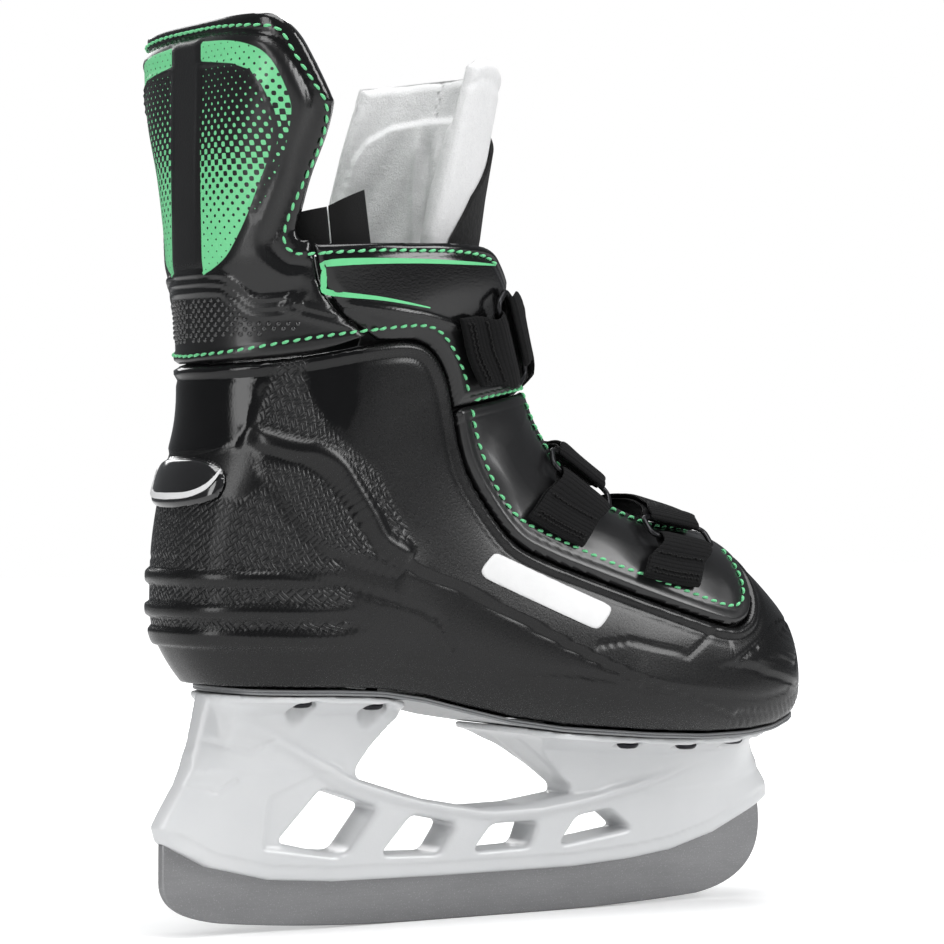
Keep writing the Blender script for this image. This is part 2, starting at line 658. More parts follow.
def cloth_material(name, colour, size=0.8, depth=0.12, sheen=0.3, speckle=0.25):
    """A brushed or knitted cloth without a direction."""
    p = Paint(name, Sheen_Weight=sheen, Sheen_Roughness=0.55, Specular_IOR_Level=0.3)
    where = p.place()
    cells = p.node("TexVoronoi", {"feature": "F1"}, Vector=where)
    cells.inputs["Scale"].default_value = 1 / (size * MM)
    fibre = p.noise(size * 0.5, 5, 0.7)
    height = p.math("ADD", p.math("MULTIPLY", cells.outputs["Distance"], 0.6),
                    p.math("MULTIPLY", fibre, 0.6))
    low = tuple(c * (1 - speckle) for c in colour)
    high = tuple(min(1.0, c * (1 + speckle)) for c in colour)
    base = p.mix(p.noise(size * 6, 3), p.mix(fibre, low, colour), p.mix(fibre, colour, high))
    rough = p.math("ADD", 0.8, p.math("MULTIPLY", fibre, 0.15))
    return p.set(Base_Color=base, Roughness=rough, Normal=p.bump(height, depth))


def felt_material():
    p = Paint("tongue_felt", Roughness=0.95, Sheen_Weight=0.35, Sheen_Roughness=0.6)
    fibres = p.noise(0.5, 6, 0.75)
    tufts = p.noise(2.4, 4, 0.6)
    height = p.math("ADD", p.math("MULTIPLY", fibres, 0.6), p.math("MULTIPLY", tufts, 0.7))
    base = p.mix(tufts, (0.68, 0.68, 0.685), (0.80, 0.80, 0.80))
    base = p.mix(p.math("MULTIPLY", p.ramp(fibres, 0.35, 0.5, 1.0, 0.0), 0.35), base, (0.55, 0.55, 0.56))
    rough = p.math("ADD", 0.85, p.math("MULTIPLY", fibres, 0.1))
    return p.set(Base_Color=base, Roughness=rough, Normal=p.bump(height, 0.4))


def thread_material():
    p = Paint("thread_green", Sheen_Weight=0.3, Sheen_Roughness=0.4)
    twist = p.noise(0.4, 3, 0.6)
    base = p.mix(twist, (0.07, 0.42, 0.16), (0.20, 0.72, 0.34))
    rough = p.math("ADD", 0.5, p.math("MULTIPLY", twist, 0.25))
    return p.set(Base_Color=base, Roughness=rough, Normal=p.bump(twist, 0.15))


def print_material(name, colour):
    p = Paint(name)
    cloud = p.noise(5)
    base = p.mix(cloud, tuple(c * 0.93 for c in colour), tuple(min(1.0, c * 1.05) for c in colour))
    rough = p.math("ADD", 0.28, p.math("MULTIPLY", p.noise(0.8, 3), 0.14))
    return p.set(Base_Color=base, Roughness=rough, Normal=p.bump(p.noise(0.6, 2), 0.02))


def stud_material(name, colour, metal=1.0):
    p = Paint(name, Metallic=metal)
    spots = p.noise(0.8, 4)
    base = p.mix(spots, tuple(c * 0.7 for c in colour), tuple(c * 1.3 for c in colour))
    rough = p.math("ADD", 0.28, p.math("MULTIPLY", spots, 0.25))
    return p.set(Base_Color=base, Roughness=rough, Normal=p.bump(p.noise(0.3, 3), 0.03))


SHELL = shell_material()
GUARD = guard_material()
PATENT = patent_material()
TRIM = gloss_material("gloss_trim")
HOLDER = holder_material()
RUNNER = steel_material()
FASTENER = stud_material("fastener_steel", (0.42, 0.42, 0.44))
RIVET = stud_material("rivet_steel", (0.03, 0.03, 0.034))
RING = stud_material("ring_steel", (0.035, 0.035, 0.037))
WEBBING = webbing_material("webbing", (0.0045, 0.0045, 0.0048))
TAPE = webbing_material("hook_tape", (0.0055, 0.0055, 0.0058), rib=1.0, depth=0.26)
FELT = felt_material()
LINING = cloth_material("lining_fabric", (0.010, 0.010, 0.0105), sheen=0.08)
FACING = cloth_material("facing_mesh", (0.005, 0.005, 0.0052), size=1.6, depth=0.3, sheen=0.05)
INSOLE = cloth_material("insole_foam", (0.03, 0.03, 0.032), size=1.2, depth=0.2, sheen=0.1)
LABEL = cloth_material("label_fabric", (0.004, 0.004, 0.0042), size=0.5, depth=0.06, sheen=0.05)
OUTSOLE = print_material("outsole_plastic", (0.20, 0.205, 0.21))
THREAD = thread_material()
BLACK_THREAD = cloth_material("thread_black", (0.005, 0.005, 0.005), size=0.5, sheen=0.02)
PRINT_GREEN = print_material("print_green", (0.14, 0.60, 0.26))
BADGE_WHITE = print_material("badge_plastic", (0.70, 0.70, 0.70))


def finish_piece(obj, material, body="root", stands_for=()):
    """Gives a piece its material, slot and body, and the CAD nodes that it stands for."""
    obj.data.materials.clear()
    obj.data.materials.append(material)
    if body:
        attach(obj, body)
    if stands_for:
        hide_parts(*stands_for)
    return obj


# ---------------------------------------------------------------- boot shell
SEAM_CURVE = smooth_line(SEAM, 5)
GUARD_CURVE = smooth_line(GUARD_EDGE, 5)
COLLAR_CURVE = smooth_line(COLLAR_LINE, 5)

ANKLE_RIDGE = smooth_line([[-84, 134.5], [-75, 131], [-69, 130], [-63, 126.5], [-59, 121], [-54, 113.5],
                           [-50, 107], [-44, 103.5]])
STEP_LINE = smooth_line([[-88, 131], [-78, 129], [-70, 126], [-64, 121], [-57, 112], [-51, 103.5],
                         [-45, 100.5], [-25, 93], [-5, 83.5], [10, 76], [29, 67.5], [60, 57]])
CRESCENT = smooth_line([[-83, 124], [-79, 117], [-72, 107.5], [-61, 102], [-45, 97.5]])
LOWER_CREASE = smooth_line([[-76, 98], [-61, 94], [-45, 89.5], [-33, 85], [-28, 77]])
SOLE_CREASE = smooth_line([[-48, 72.5], [-24, 70], [-5, 70], [14, 68.5], [34, 63.5]])
PANEL_END = [[56.5, 81.5], [45, 73.5], [27, 78], [16, 77]]
TOE_LINES = [
    smooth_line([[93, 81.5], [80, 81.5], [70, 76], [60, 70.5]]),
    smooth_line([[62, 70.5], [76, 67], [90, 63.5]]),
    smooth_line([[30, 66], [50, 62.5], [70, 61], [84, 62.5]]),
]
TOE_TRIANGLE = [[68, 74.6], [88.5, 81], [93, 74], [88, 68.5]]
HEEL_PANEL = [[-120, 153], [-79.5, 153.2], [-80.5, 148], [-83.5, 137], [-86.5, 131], [-94, 129.5],
              [-120, 129.5]]
GLOSS_PANEL = [[-71, 156.5], [-57.5, 158], [-58.5, 142], [-61.5, 135.5], [-66.5, 138], [-70.5, 146]]
WEAVE_AREAS = [
    [[-78.5, 153.5], [-70.5, 155.5], [-70, 146], [-66, 136], [-52, 124], [-40, 104], [-44, 104],
     [-56, 121], [-62, 129], [-76, 133], [-83, 135]],
    [[-85, 128], [-74, 126.5], [-67, 122], [-58, 110], [-52, 102], [-62, 101.6], [-72, 107], [-79, 117]],
    [[-120, 127], [-88, 117], [-82, 122], [-78, 115], [-70, 104.5], [-60, 98.5], [-58, 84], [-66, 78],
     [-120, 84]],
]
# Each rib of the heel: low and high edge, and where it fades out forward.
HEEL_RIBS = [(94.6, 98.6, -60), (85.8, 89.8, -54), (78.2, 83.2, -50)]


def bell(d, width):
    return np.exp(-((d / width) ** 2))


def shell_height(p, t, arc):
    x, z = p[..., 0], p[..., 2]
    lift = np.zeros(x.shape)
    seam = segments_distance(SEAM_CURVE, x, z)
    lift += 0.55 * smoothstep(4.2, 2.4, seam) - 0.4 * bell(seam - 4.2, 0.9)
    ridge = segments_distance(ANKLE_RIDGE, x, z)
    lift += 1.3 * np.sqrt(np.clip(1 - (ridge / 2.7) ** 2, 0, 1)) * smoothstep(-86, -81, x)
    step = side_of(STEP_LINE, x, z)
    fade = smoothstep(-86, -80, x)
    lift += 0.85 * smoothstep(-0.35, 0.35, step) * np.exp(-np.clip(step, 0, 60) / 9) * fade
    lift -= 0.35 * bell(step + 0.6, 0.5) * fade
    crescent = segments_distance(CRESCENT, x, z)
    above = np.where(x > np.interp(z, CRESCENT[::-1, 1], CRESCENT[::-1, 0]), 1, -1)
    lift += 0.5 * smoothstep(-0.4, 0.4, crescent * above) * bell(crescent, 7)
    for line, depth in ((LOWER_CREASE, 0.4), (SOLE_CREASE, 0.35)):
        crease = side_of(line, x, z) if line is SOLE_CREASE else segments_distance(line, x, z)
        lift -= depth * bell(crease, 0.6)
    lift -= 0.4 * bell(segments_distance(PANEL_END, x, z), 0.45)
    for line in TOE_LINES:
        d = side_of(line, x, z)
        lift -= 0.4 * bell(d, 0.5)
        lift += 0.3 * smoothstep(-0.4, 0.4, d) * bell(d, 7)
    stripes = outline_distance(TOE_TRIANGLE, x, z)
    lift += 0.22 * np.sin((x * 0.35 + z) * 2 * np.pi / 1.9) * smoothstep(0, -0.6, stripes)
    lift -= 0.3 * bell(stripes, 0.4)
    for low, high, front in HEEL_RIBS:
        middle, half = (low + high) / 2, (high - low) / 2
        profile = np.clip(1 - (np.abs(z - middle + 0.02 * (x + 95)) / half) ** 4, 0, 1) ** 0.5
        lift += 1.35 * profile * smoothstep(front, front - 24, x)
    lift -= 0.35 * bell(z - 101.6, 0.5) * smoothstep(-58, -66, x)
    panel = outline_distance(HEEL_PANEL, x, z)
    lift += 0.7 * smoothstep(0.4, -0.5, panel)
    gloss = outline_distance(GLOSS_PANEL, x, z)
    lift -= 0.25 * smoothstep(0.3, -0.4, gloss)
    tread = smoothstep(58, 66, x) * smoothstep(2.6, 1.4, np.abs(z - sole_at(x) - 3.6))
    lift += 0.28 * tread * np.sin((x * 0.9 + z * 0.9) * 2 * np.pi / 2.4)
    return lift


def build_shell():
    rows = np.concatenate([np.arange(0, 4, 0.06), np.arange(4, 11.6, 0.028), np.arange(11.6, 15.25, 0.045)])
    outline = np.vstack([[-130, -20], SEAM_CURVE, [140, 115], [140, -20]])
    obj = skin("boot_shell_skin", Grid(rows, 122),
               lambda p, t, arc: outline_distance(outline, p[..., 0], p[..., 2]) + PIECE_GAP,
               0.0, WALL, shell_height, roll=1.2)
    p, _ = mesh_coordinates(obj)
    x, z = p[:, 0], p[:, 2]
    weave = np.max([smoothstep(0.5, -2.5, outline_distance(area, x, z)) for area in WEAVE_AREAS], axis=0)
    ribs = np.max([smoothstep(half + 0.9, half, np.abs(z - (a + b) / 2 + 0.02 * (x + 95)))
                   for a, b, _ in HEEL_RIBS for half in [(b - a) / 2]], axis=0)
    ridge = segments_distance(ANKLE_RIDGE, x, z)
    weave *= (1 - ribs) * smoothstep(2.4, 3.2, ridge)
    point_attribute(obj, "weave", weave)
    gloss = np.maximum(smoothstep(0.3, -0.4, outline_distance(HEEL_PANEL, x, z)),
                       smoothstep(0.2, -0.3, outline_distance(GLOSS_PANEL, x, z)))
    point_attribute(obj, "gloss", gloss)
    return finish_piece(obj, SHELL, stands_for=["boot_shell"])


# ---------------------------------------------------------------- tendon guard
# Outlines on the guard: length round it from the middle of the back, and height.
RAISED_PANEL = smooth_line([[0, 240.5], [8, 240.5], [25, 239.5], [34, 238], [39, 234], [43.5, 226],
                            [45, 220], [43.5, 216], [39, 208], [36, 200], [31, 190], [28.5, 185],
                            [29.5, 181.5], [33, 178.5], [37, 178]], 4)
BAND = smooth_line([[8.2, 238.6], [22, 237.6], [30, 235.8], [34.5, 233], [37.5, 228], [39.5, 221],
                    [38.5, 215.5], [35.5, 208], [31, 199.5], [26.5, 191.5]], 4)
ZONE = smooth_line([[8.2, 231.8], [20, 231.4], [27, 229.8], [30.5, 226], [33.2, 220], [34.2, 215],
                    [32, 208], [28.3, 200.5], [24.8, 193.5], [21, 187], [16.2, 180.8], [8.2, 176.5]], 4)
GUARD_RIDGES = smooth_line([[-2, 174.6], [10, 174.6], [15, 174], [18.5, 171.5], [22, 168.6],
                            [26, 167.8], [33, 168.4]], 5)
RIDGE_UP = [[33, 168.4], [35.5, 171.5], [37.5, 181.5]]
RIDGE_ON = [[33, 168.4], [37, 166.8], [52, 163.2], [64, 163]]
BUMP_PITCH = 2.6


# The band's inner edge follows the zone at a small distance.
BAND_INNER = (ZONE[5:-12:4] + [1.7, 0.3])[::-1]
BAND_OUTLINE = np.vstack([BAND, [[25.6, 192.4]], BAND_INNER, [[8.2, 233.4]]])
ZONE_OUTLINE = np.vstack([ZONE, [[8.2, 231.8]]])
PANEL_OUTLINE = np.vstack([RAISED_PANEL, [[36, 150], [-60, 150], [-60, 240.5]]])


def guard_height(p, t, arc):
    u, z = np.abs(arc), p[..., 2]
    lift = np.zeros(u.shape)
    panel = outline_distance(PANEL_OUTLINE, u, z)
    high = smoothstep(170, 182, z)
    lift += 1.5 * smoothstep(0.2, -2.6, panel) * high
    lift -= 0.5 * bell(panel - 0.7, 0.7) * high
    dish = np.minimum(outline_distance(BAND_OUTLINE, u, z), outline_distance(ZONE_OUTLINE, u, z))
    lift -= 0.5 * smoothstep(1.6, -0.4, dish)
    lift += 0.35 * bell(np.abs(outline_distance(ZONE_OUTLINE, u, z) - 0.8), 0.5) * smoothstep(190, 196, z)
    for line, copies in ((GUARD_RIDGES, (-2.3, 0, 2.3)), (RIDGE_UP, (-1.2, 1.2)), (RIDGE_ON, (-1.2, 1.2))):
        d = segments_distance(line, u, z)
        upright = d * np.sign(u - np.interp(z, [168, 182], [33, 37.5]))
        signed = upright if line is RIDGE_UP else side_of(line, u, z)
        lift += sum(0.75 * bell(signed - c, 0.55) for c in copies) * smoothstep(60, 50, u)
    lift += 0.54 * smoothstep(155.4, 154.6, z - 0.13 * u)
    return lift


def guard_region(outline):
    def region(p, t, arc):
        return outline_distance(outline, p[..., 0], p[..., 2]) + PIECE_GAP
    return region


def build_guard():
    rows = np.arange(14.6, 18.98, 0.032)
    outline = np.vstack([GUARD_CURVE, SEAM_CURVE[10::-1]])
    obj = skin("tendon_guard_skin", Grid(rows, 118), guard_region(outline), -0.6, WALL - 0.2,
               guard_height, roll=1.4)
    _, uv = mesh_coordinates(obj)
    u, v = np.abs(uv[:, 0]), uv[:, 1]
    point_attribute(obj, "band", outline_distance(BAND_OUTLINE, u, v))
    point_attribute(obj, "zone", outline_distance(ZONE_OUTLINE, u, v))
    matte = smoothstep(175, 184, v) * smoothstep(1.5, -2.5, outline_distance(PANEL_OUTLINE, u, v))
    point_attribute(obj, "matte", np.maximum(matte, 0.8 * smoothstep(172, 168, v)))
    return finish_piece(obj, GUARD, stands_for=["tendon_guard"])


# ---------------------------------------------------------------- cuffs and flaps
CUFF_EDGE = np.vstack([COLLAR_CURVE, [[25, 160]], CUFF_FOOT, SEAM_CURVE[25:14:-1],
                       [[-52, 159.2], [-62, 165.5], [-68, 173]]])
CUFF_BAND = [[-76, 171], [-66, 168.6], [-39, 165.6], [-12, 160]]
FLAP_EDGE = np.vstack([[CUFF_FOOT[1], CUFF_FOOT[0], [60, 150], [90, 130]], SEAM_CURVE[:29:-1]])


def within(outline, sign):
    def region(p, t, arc):
        throat = np.interp(t, THROAT[:, 0], THROAT[:, 1]) - np.abs(p[..., 1])
        side = sign * p[..., 1] + PIECE_GAP
        edge = outline_distance(outline, p[..., 0], p[..., 2]) + PIECE_GAP
        return np.maximum.reduce([edge, throat, side])
    return region


def pad(edge_distance, rise, width, channel):
    """A padded panel: a sewn channel at a distance in from its edge, then a crown."""
    inner = np.clip(edge_distance - channel, 0, None)
    border = 0.3 * np.sqrt(np.clip(1 - ((edge_distance - channel / 2) / (channel / 2)) ** 2, 0, 1))
    return np.where(edge_distance > channel, rise * (1 - np.exp(-inner / width)), border)


def cuff_height(outline, sign):
    region = within(outline, sign)

    def height(p, t, arc):
        e = -region(p, t, arc)
        x, z = p[..., 0], p[..., 2]
        collar = segments_distance(COLLAR_CURVE, x, z)
        lift = 0.9 * smoothstep(2.6, 5.0, collar) * smoothstep(0.5, 3, e)
        lift += 0.35 * bell(collar - 1.2, 1.0)
        band = side_of(CUFF_BAND, x, z)
        lift -= 0.55 * smoothstep(0.6, -0.6, band)
        lift += 0.5 * bell(band - 0.3, 0.7)
        return lift
    return height


def flap_height(outline, sign):
    region = within(outline, sign)

    def height(p, t, arc):
        e = -region(p, t, arc)
        x, z = p[..., 0], p[..., 2]
        lift = pad(e, 1.5, 4.5, 3.4)
        folds = 0.3 * np.sin(x * 0.19 + z * 0.11) * np.sin(z * 0.23 - x * 0.07 + 1)
        for strap in STRAPS.values():
            low = boot_point(*np.array(strap["foot"])[1] * [1, math.pi / 180])
            high = boot_point(*np.array(strap["foot"])[0] * [1, math.pi / 180])
            middle = (low + high) / 2
            folds -= 0.7 * bell(np.hypot(x - middle[0], (z - middle[2] - 8) * 0.6), 9)
        return lift + folds * smoothstep(3.6, 9, e)
    return height


def build_uppers():
    rows_cuff = np.arange(9.6, 16.35, 0.045)
    rows_flap = np.arange(3.6, 11.6, 0.032)
    for side, sign in SIDES.items():
        low, high = (55, 172) if sign > 0 else (188, 305)
        angles = np.radians(np.linspace(low, high, 150))
        cuff = skin(f"cuff_{side}_skin", Grid(rows_cuff, angles=angles), within(CUFF_EDGE, sign),
                    -0.6, WALL - 0.2, cuff_height(CUFF_EDGE, sign), roll=1.3)
        p, _ = mesh_coordinates(cuff)
        for name in ("band", "zone"):
            point_attribute(cuff, name, np.full(len(p), 9.0))
        rubbed = side_of(CUFF_BAND, p[:, 0], p[:, 2])
        point_attribute(cuff, "matte", 0.75 * smoothstep(0.5, -0.5, rubbed))
        finish_piece(cuff, GUARD, stands_for=[f"cuff_{side}"])
        flap = skin(f"flap_{side}_skin", Grid(rows_flap, angles=angles), within(FLAP_EDGE, sign),
                    -1.0, WALL - 0.4, flap_height(FLAP_EDGE, sign), roll=1.2)
        finish_piece(flap, PATENT, stands_for=[f"flap_{side}"])


# ---------------------------------------------------------------- small plates on the boot


def build_trim():
    rows = np.arange(12.4, 14.05, 0.012)
    lug_outline = smooth_line(LUG, 5)

    def lug_lift(p, t, arc):
        d = -outline_distance(lug_outline, p[..., 0], p[..., 2])
        return 1.08 * (1 - np.exp(-np.clip(d, 0, 20) / 2.2))

    lug = skin("heel_lug", Grid(rows, 150),
               lambda p, t, arc: outline_distance(lug_outline, p[..., 0], p[..., 2]),
               -1.6, -PIECE_GAP, lug_lift, roll=0.9)
    finish_piece(lug, TRIM, stands_for=["heel_insert"])
    plate_outline = roundish(BADGE, 2.2)
    for side, sign in SIDES.items():
        low, high = (60, 120) if sign > 0 else (240, 300)
        grid = Grid(np.arange(6.2, 9.6, 0.018), angles=np.radians(np.linspace(low, high, 150)))
        badge = skin(f"badge_{side}_plate", grid,
                     lambda p, t, arc: outline_distance(plate_outline, p[..., 0], p[..., 2]),
                     -0.95, -PIECE_GAP, None, roll=0.35)
        finish_piece(badge, BADGE_WHITE, stands_for=[f"side_badge_{side}"])


def roundish(corners, radius, steps=5):
    """A polygon with its corners rounded."""
    c = np.array(corners, float)
    out = []
    for before, here, after in zip(np.roll(c, 1, axis=0), c, np.roll(c, -1, axis=0)):
        a = here + (before - here) * min(0.45, radius / np.linalg.norm(before - here))
        b = here + (after - here) * min(0.45, radius / np.linalg.norm(after - here))
        for f in np.linspace(0, 1, steps):
            out.append((1 - f) ** 2 * a + 2 * f * (1 - f) * here + f**2 * b)
    return np.array(out)


# ---------------------------------------------------------------- places on the boot


class Finder:
    """Finds the station and angle of a place on the outer side from two coordinates."""

    def __init__(self, measure, low, high):
        self.measure = measure
        t, a = np.meshgrid(np.linspace(low, high, 420), np.radians(np.linspace(1, 179, 360)), indexing="ij")
        self.t, self.a = t.ravel(), a.ravel()
        places = measure(self.t, self.a)
        self.tree = KDTree(len(places))
        for k, (u, v) in enumerate(places):
            self.tree.insert((u, v, 0), k)
        self.tree.balance()

    def find(self, u, v):
        k = self.tree.find((u, v, 0))[1]
        t, a = self.t[k], self.a[k]
        for _ in range(3):
            here = self.measure(np.array([t, t + 1e-3, t]), np.array([a, a, a + 1e-3]))
            jacobian = np.array([here[1] - here[0], here[2] - here[0]]).T / 1e-3
            if abs(np.linalg.det(jacobian)) < 1e-3:
                break
            step = np.clip(np.linalg.solve(jacobian, np.array([u, v]) - here[0]), -0.03, 0.03)
            t, a = t + step[0], a + step[1]
        return t, a


def seen_from_side(t, a):
    return boot_point(t, a)[:, [0, 2]]


def unrolled(t, a):
    return np.stack([ARC.at(t, a), boot_point(t, a)[:, 2]], -1)


SIDE_VIEW = Finder(seen_from_side, 2.5, 16.2)
WRAPPED = Finder(unrolled, 14.4, LAST_STATION)


def on_boot(line, finder, depth, sign=1, lift=None):
    """Points and normals on the boot along a line of two coordinates."""
    points, normals = [], []
    for u, v in line:
        t, a = finder.find(u, v)
        t, a = np.array(t), np.array(a)
        n = boot_normal(t, a, depth)
        extra = lift(boot_point(t, a), t, ARC.at(t, a)) if lift else 0.0
        q = boot_point(t, a, depth) + n * extra
        points.append(q * [1, sign, 1])
        normals.append(n * [1, sign, 1])
    return np.array(points), np.array(normals)


def resample(points, spacing):
    d = np.concatenate([[0], np.cumsum(np.linalg.norm(np.diff(points, axis=0), axis=1))])
    count = max(2, int(round(d[-1] / spacing)) + 1)
    want = np.linspace(0, d[-1], count)
    return np.stack([np.interp(want, d, points[:, k]) for k in range(points.shape[1])], -1)


def stitches(name, runs, pitch=3.1, length=2.35, radius=0.42, slant=0.16, material=THREAD):
    """Rows of thread stitches: each run is (points, normals); a stitch is a plump capsule
    that dips into the surface at its ends."""
    along = np.linspace(-1, 1, 7)
    around = np.linspace(0, 2 * np.pi, 8, endpoint=False)
    points, faces = [], []
    for line, normals in runs:
        both = resample(np.hstack([line, normals]), pitch)
        centre, normal = (both[:-1, :3] + both[1:, :3]) / 2, both[:-1, 3:]
        ahead = np.diff(both[:, :3], axis=0)
        for c, n, a in zip(centre, normal, ahead):
            a = a / np.linalg.norm(a)
            n = n / np.linalg.norm(n)
            b = np.cross(n, a)
            a = a + b * slant
            base = len(points)
            for f in along:
                thick = radius * math.sqrt(max(1 - f * f, 0.02))
                middle = c + a * f * length / 2 + n * (0.32 - 0.75 * f**4)
                points.extend(middle + thick * (math.cos(w) * n + math.sin(w) * b) for w in around)
            faces += grid_faces(len(along), len(around), closed=True, offset=base)
            faces.append([base + k for k in range(len(around))][::-1])
            faces.append([base + (len(along) - 1) * len(around) + k for k in range(len(around))])
    return finish_piece(weld(new_mesh(name, points, faces)), material)


GUARD_STITCH = smooth_line([[0, 242], [13, 241.9], [25, 241.3], [33, 240.8], [38, 239.5], [41, 234],
                            [46, 226], [49, 220], [46.5, 212], [40.5, 202], [36.5, 195], [33.2, 188],
                            [33, 183.6], [36, 181.8], [44, 182.2]],
                            5)
COLLAR_STITCH = smooth_line([[-68.5, 182.2], [-53, 183.2], [-41, 183.4], [-31, 183.6], [-20, 182.8],
                             [-14, 180.5]], 5)
FOOT_STITCH = smooth_line([[0, 155.6], [12, 156.2], [21, 157.2], [30, 158.6], [40, 160.2], [52, 161.8],
                           [58, 162.4]], 5)
SEAM_STITCH = smooth_line([[-53, 162.4], [-46, 163.2], [-39, 163.6], [-34, 162.2], [-30, 158.5],
                           [-26.6, 154], [-24, 149.5], [-22.8, 145.5]], 5)
FLAP_STITCH = smooth_line([[-21.6, 141.5], [-20.6, 136], [-18.5, 129.5], [-15.3, 122.5], [-11.5, 116.5],
                           [-6.3, 111.2], [2, 107.2], [12, 103.2], [22, 99.2], [33, 95.4], [44, 91.6],
                           [55, 88], [61, 86.4], [65.5, 87.3], [68, 91], [69, 96], [68.6, 101.5]], 5)
FLAP_CROSS = smooth_line([[-20.6, 143.6], [-12, 145], [-3, 146.2], [3.5, 146.9]], 5)


def throat_line(t_values, inset):
    """Points along the edge of the throat opening, in by inset millimetres."""
    points, normals = [], []
    for t in t_values:
        wanted = np.interp(t, THROAT[:, 0], THROAT[:, 1]) + inset
        angles = np.radians(np.linspace(90, 180, 400))
        y = np.abs(boot_point(np.full(400, t), angles)[:, 1])
        a = angles[np.argmin(np.abs(y - wanted))]
        points.append(boot_point(np.array(t), np.array(a), -1.3))
        normals.append(boot_normal(np.array(t), np.array(a), -1.3))
    return np.array(points), np.array(normals)


def build_stitches():
    rim = -0.75
    runs = {"guard": [], "collar": [], "foot": [], "flap": []}
    for sign in SIDES.values():
        runs["guard"].append(on_boot(GUARD_STITCH, WRAPPED, rim, sign))
        runs["foot"].append(on_boot(FOOT_STITCH, WRAPPED, rim - 0.2, sign))
        runs["collar"].append(on_boot(COLLAR_STITCH, SIDE_VIEW, rim - 0.2, sign))
        runs["foot"].append(on_boot(SEAM_STITCH, SIDE_VIEW, rim - 0.2, sign))
        runs["flap"].append(on_boot(FLAP_STITCH, SIDE_VIEW, -1.3, sign))
        runs["flap"].append(on_boot(FLAP_CROSS, SIDE_VIEW, -1.3, sign))
        line, normals = throat_line(np.arange(5.0, 11.3, 0.12), 3.0)
        runs["flap"].append((line * [1, sign, 1], normals * [1, sign, 1]))
    for name, lines in runs.items():
        stitches(f"stitching_{name}", lines)


def ribbon(name, line, normals, widths, thick, material):
    """A flat printed or moulded band laid on the boot along a line."""
    ahead = np.roll(line, -1, axis=0) - np.roll(line, 1, axis=0)
    ahead[0], ahead[-1] = line[1] - line[0], line[-1] - line[-2]
    ahead /= np.linalg.norm(ahead, axis=1, keepdims=True)
    across = np.cross(normals, ahead)
    half = widths[:, None] / 2
    edges = np.stack([line - across * half - normals * thick, line + across * half - normals * thick,
                      line + across * half + normals * thick, line - across * half + normals * thick])
    count = len(line)
    faces = []
    for k in range(4):
        here, beside = k * count, (k + 1) % 4 * count
        faces += [(here + i, here + i + 1, beside + i + 1, beside + i) for i in range(count - 1)]
    faces += [(0, count, 2 * count, 3 * count), (count - 1, 4 * count - 1, 3 * count - 1, 2 * count - 1)]
    obj = weld(new_mesh(name, edges.reshape(-1, 3), faces, smooth=False))
    return finish_piece(obj, material)


def build_prints():
    """The green outline on each cuff and the white line on the heel lug."""
    corners = [[-14, 180.6], [-45, 180.6], [-66.5, 179.6], [-67.8, 177.5], [-67.9, 173.8],
               [-66.4, 171.8], [-52, 170.4], [-38, 168.4]]
    line = resample(smooth_line(corners, 8), 0.7)
    share = np.linspace(0, 1, len(line))
    widths = np.interp(share, [0, 0.12, 0.4, 0.55, 0.7, 1], [0.4, 0.9, 1.5, 1.9, 1.5, 0.35])
    cuff = cuff_height(CUFF_EDGE, 1)

    def raised(p, t, arc):
        return cuff(p[None], t[None], np.array([arc]))[0]

    for side, sign in SIDES.items():
        points, normals = on_boot(line, SIDE_VIEW, -0.6, sign, raised)
        ribbon(f"cuff_{side}_outline", points, normals, widths, 0.12, PRINT_GREEN)
    half = resample(smooth_line([[0, 119.4], [9, 119.8], [14.5, 121.5], [17.2, 124], [18.6, 126.4]], 6),
                    0.7)
    finder = Finder(unrolled, 12.2, 14.6)
    points, normals = on_boot(half[1:], finder, -2.78)
    points = np.vstack([points[::-1], points * [1, -1, 1]])
    normals = np.vstack([normals[::-1], normals * [1, -1, 1]])
    widths = np.interp(np.linspace(-1, 1, len(points)), [-1, -0.7, 0, 0.7, 1], [0.5, 1.5, 1.8, 1.5, 0.5])
    ribbon("heel_lug_line", points, normals, widths, 0.1, BADGE_WHITE)


# Radius and height of each ring of a dome, from its foot up, then its top's height.
DOME_RINGS = ((0.75, -0.3), (0.72, 0.12), (0.42, 0.36))
DOME_TOP = 0.44
DOME_SIDES = 8


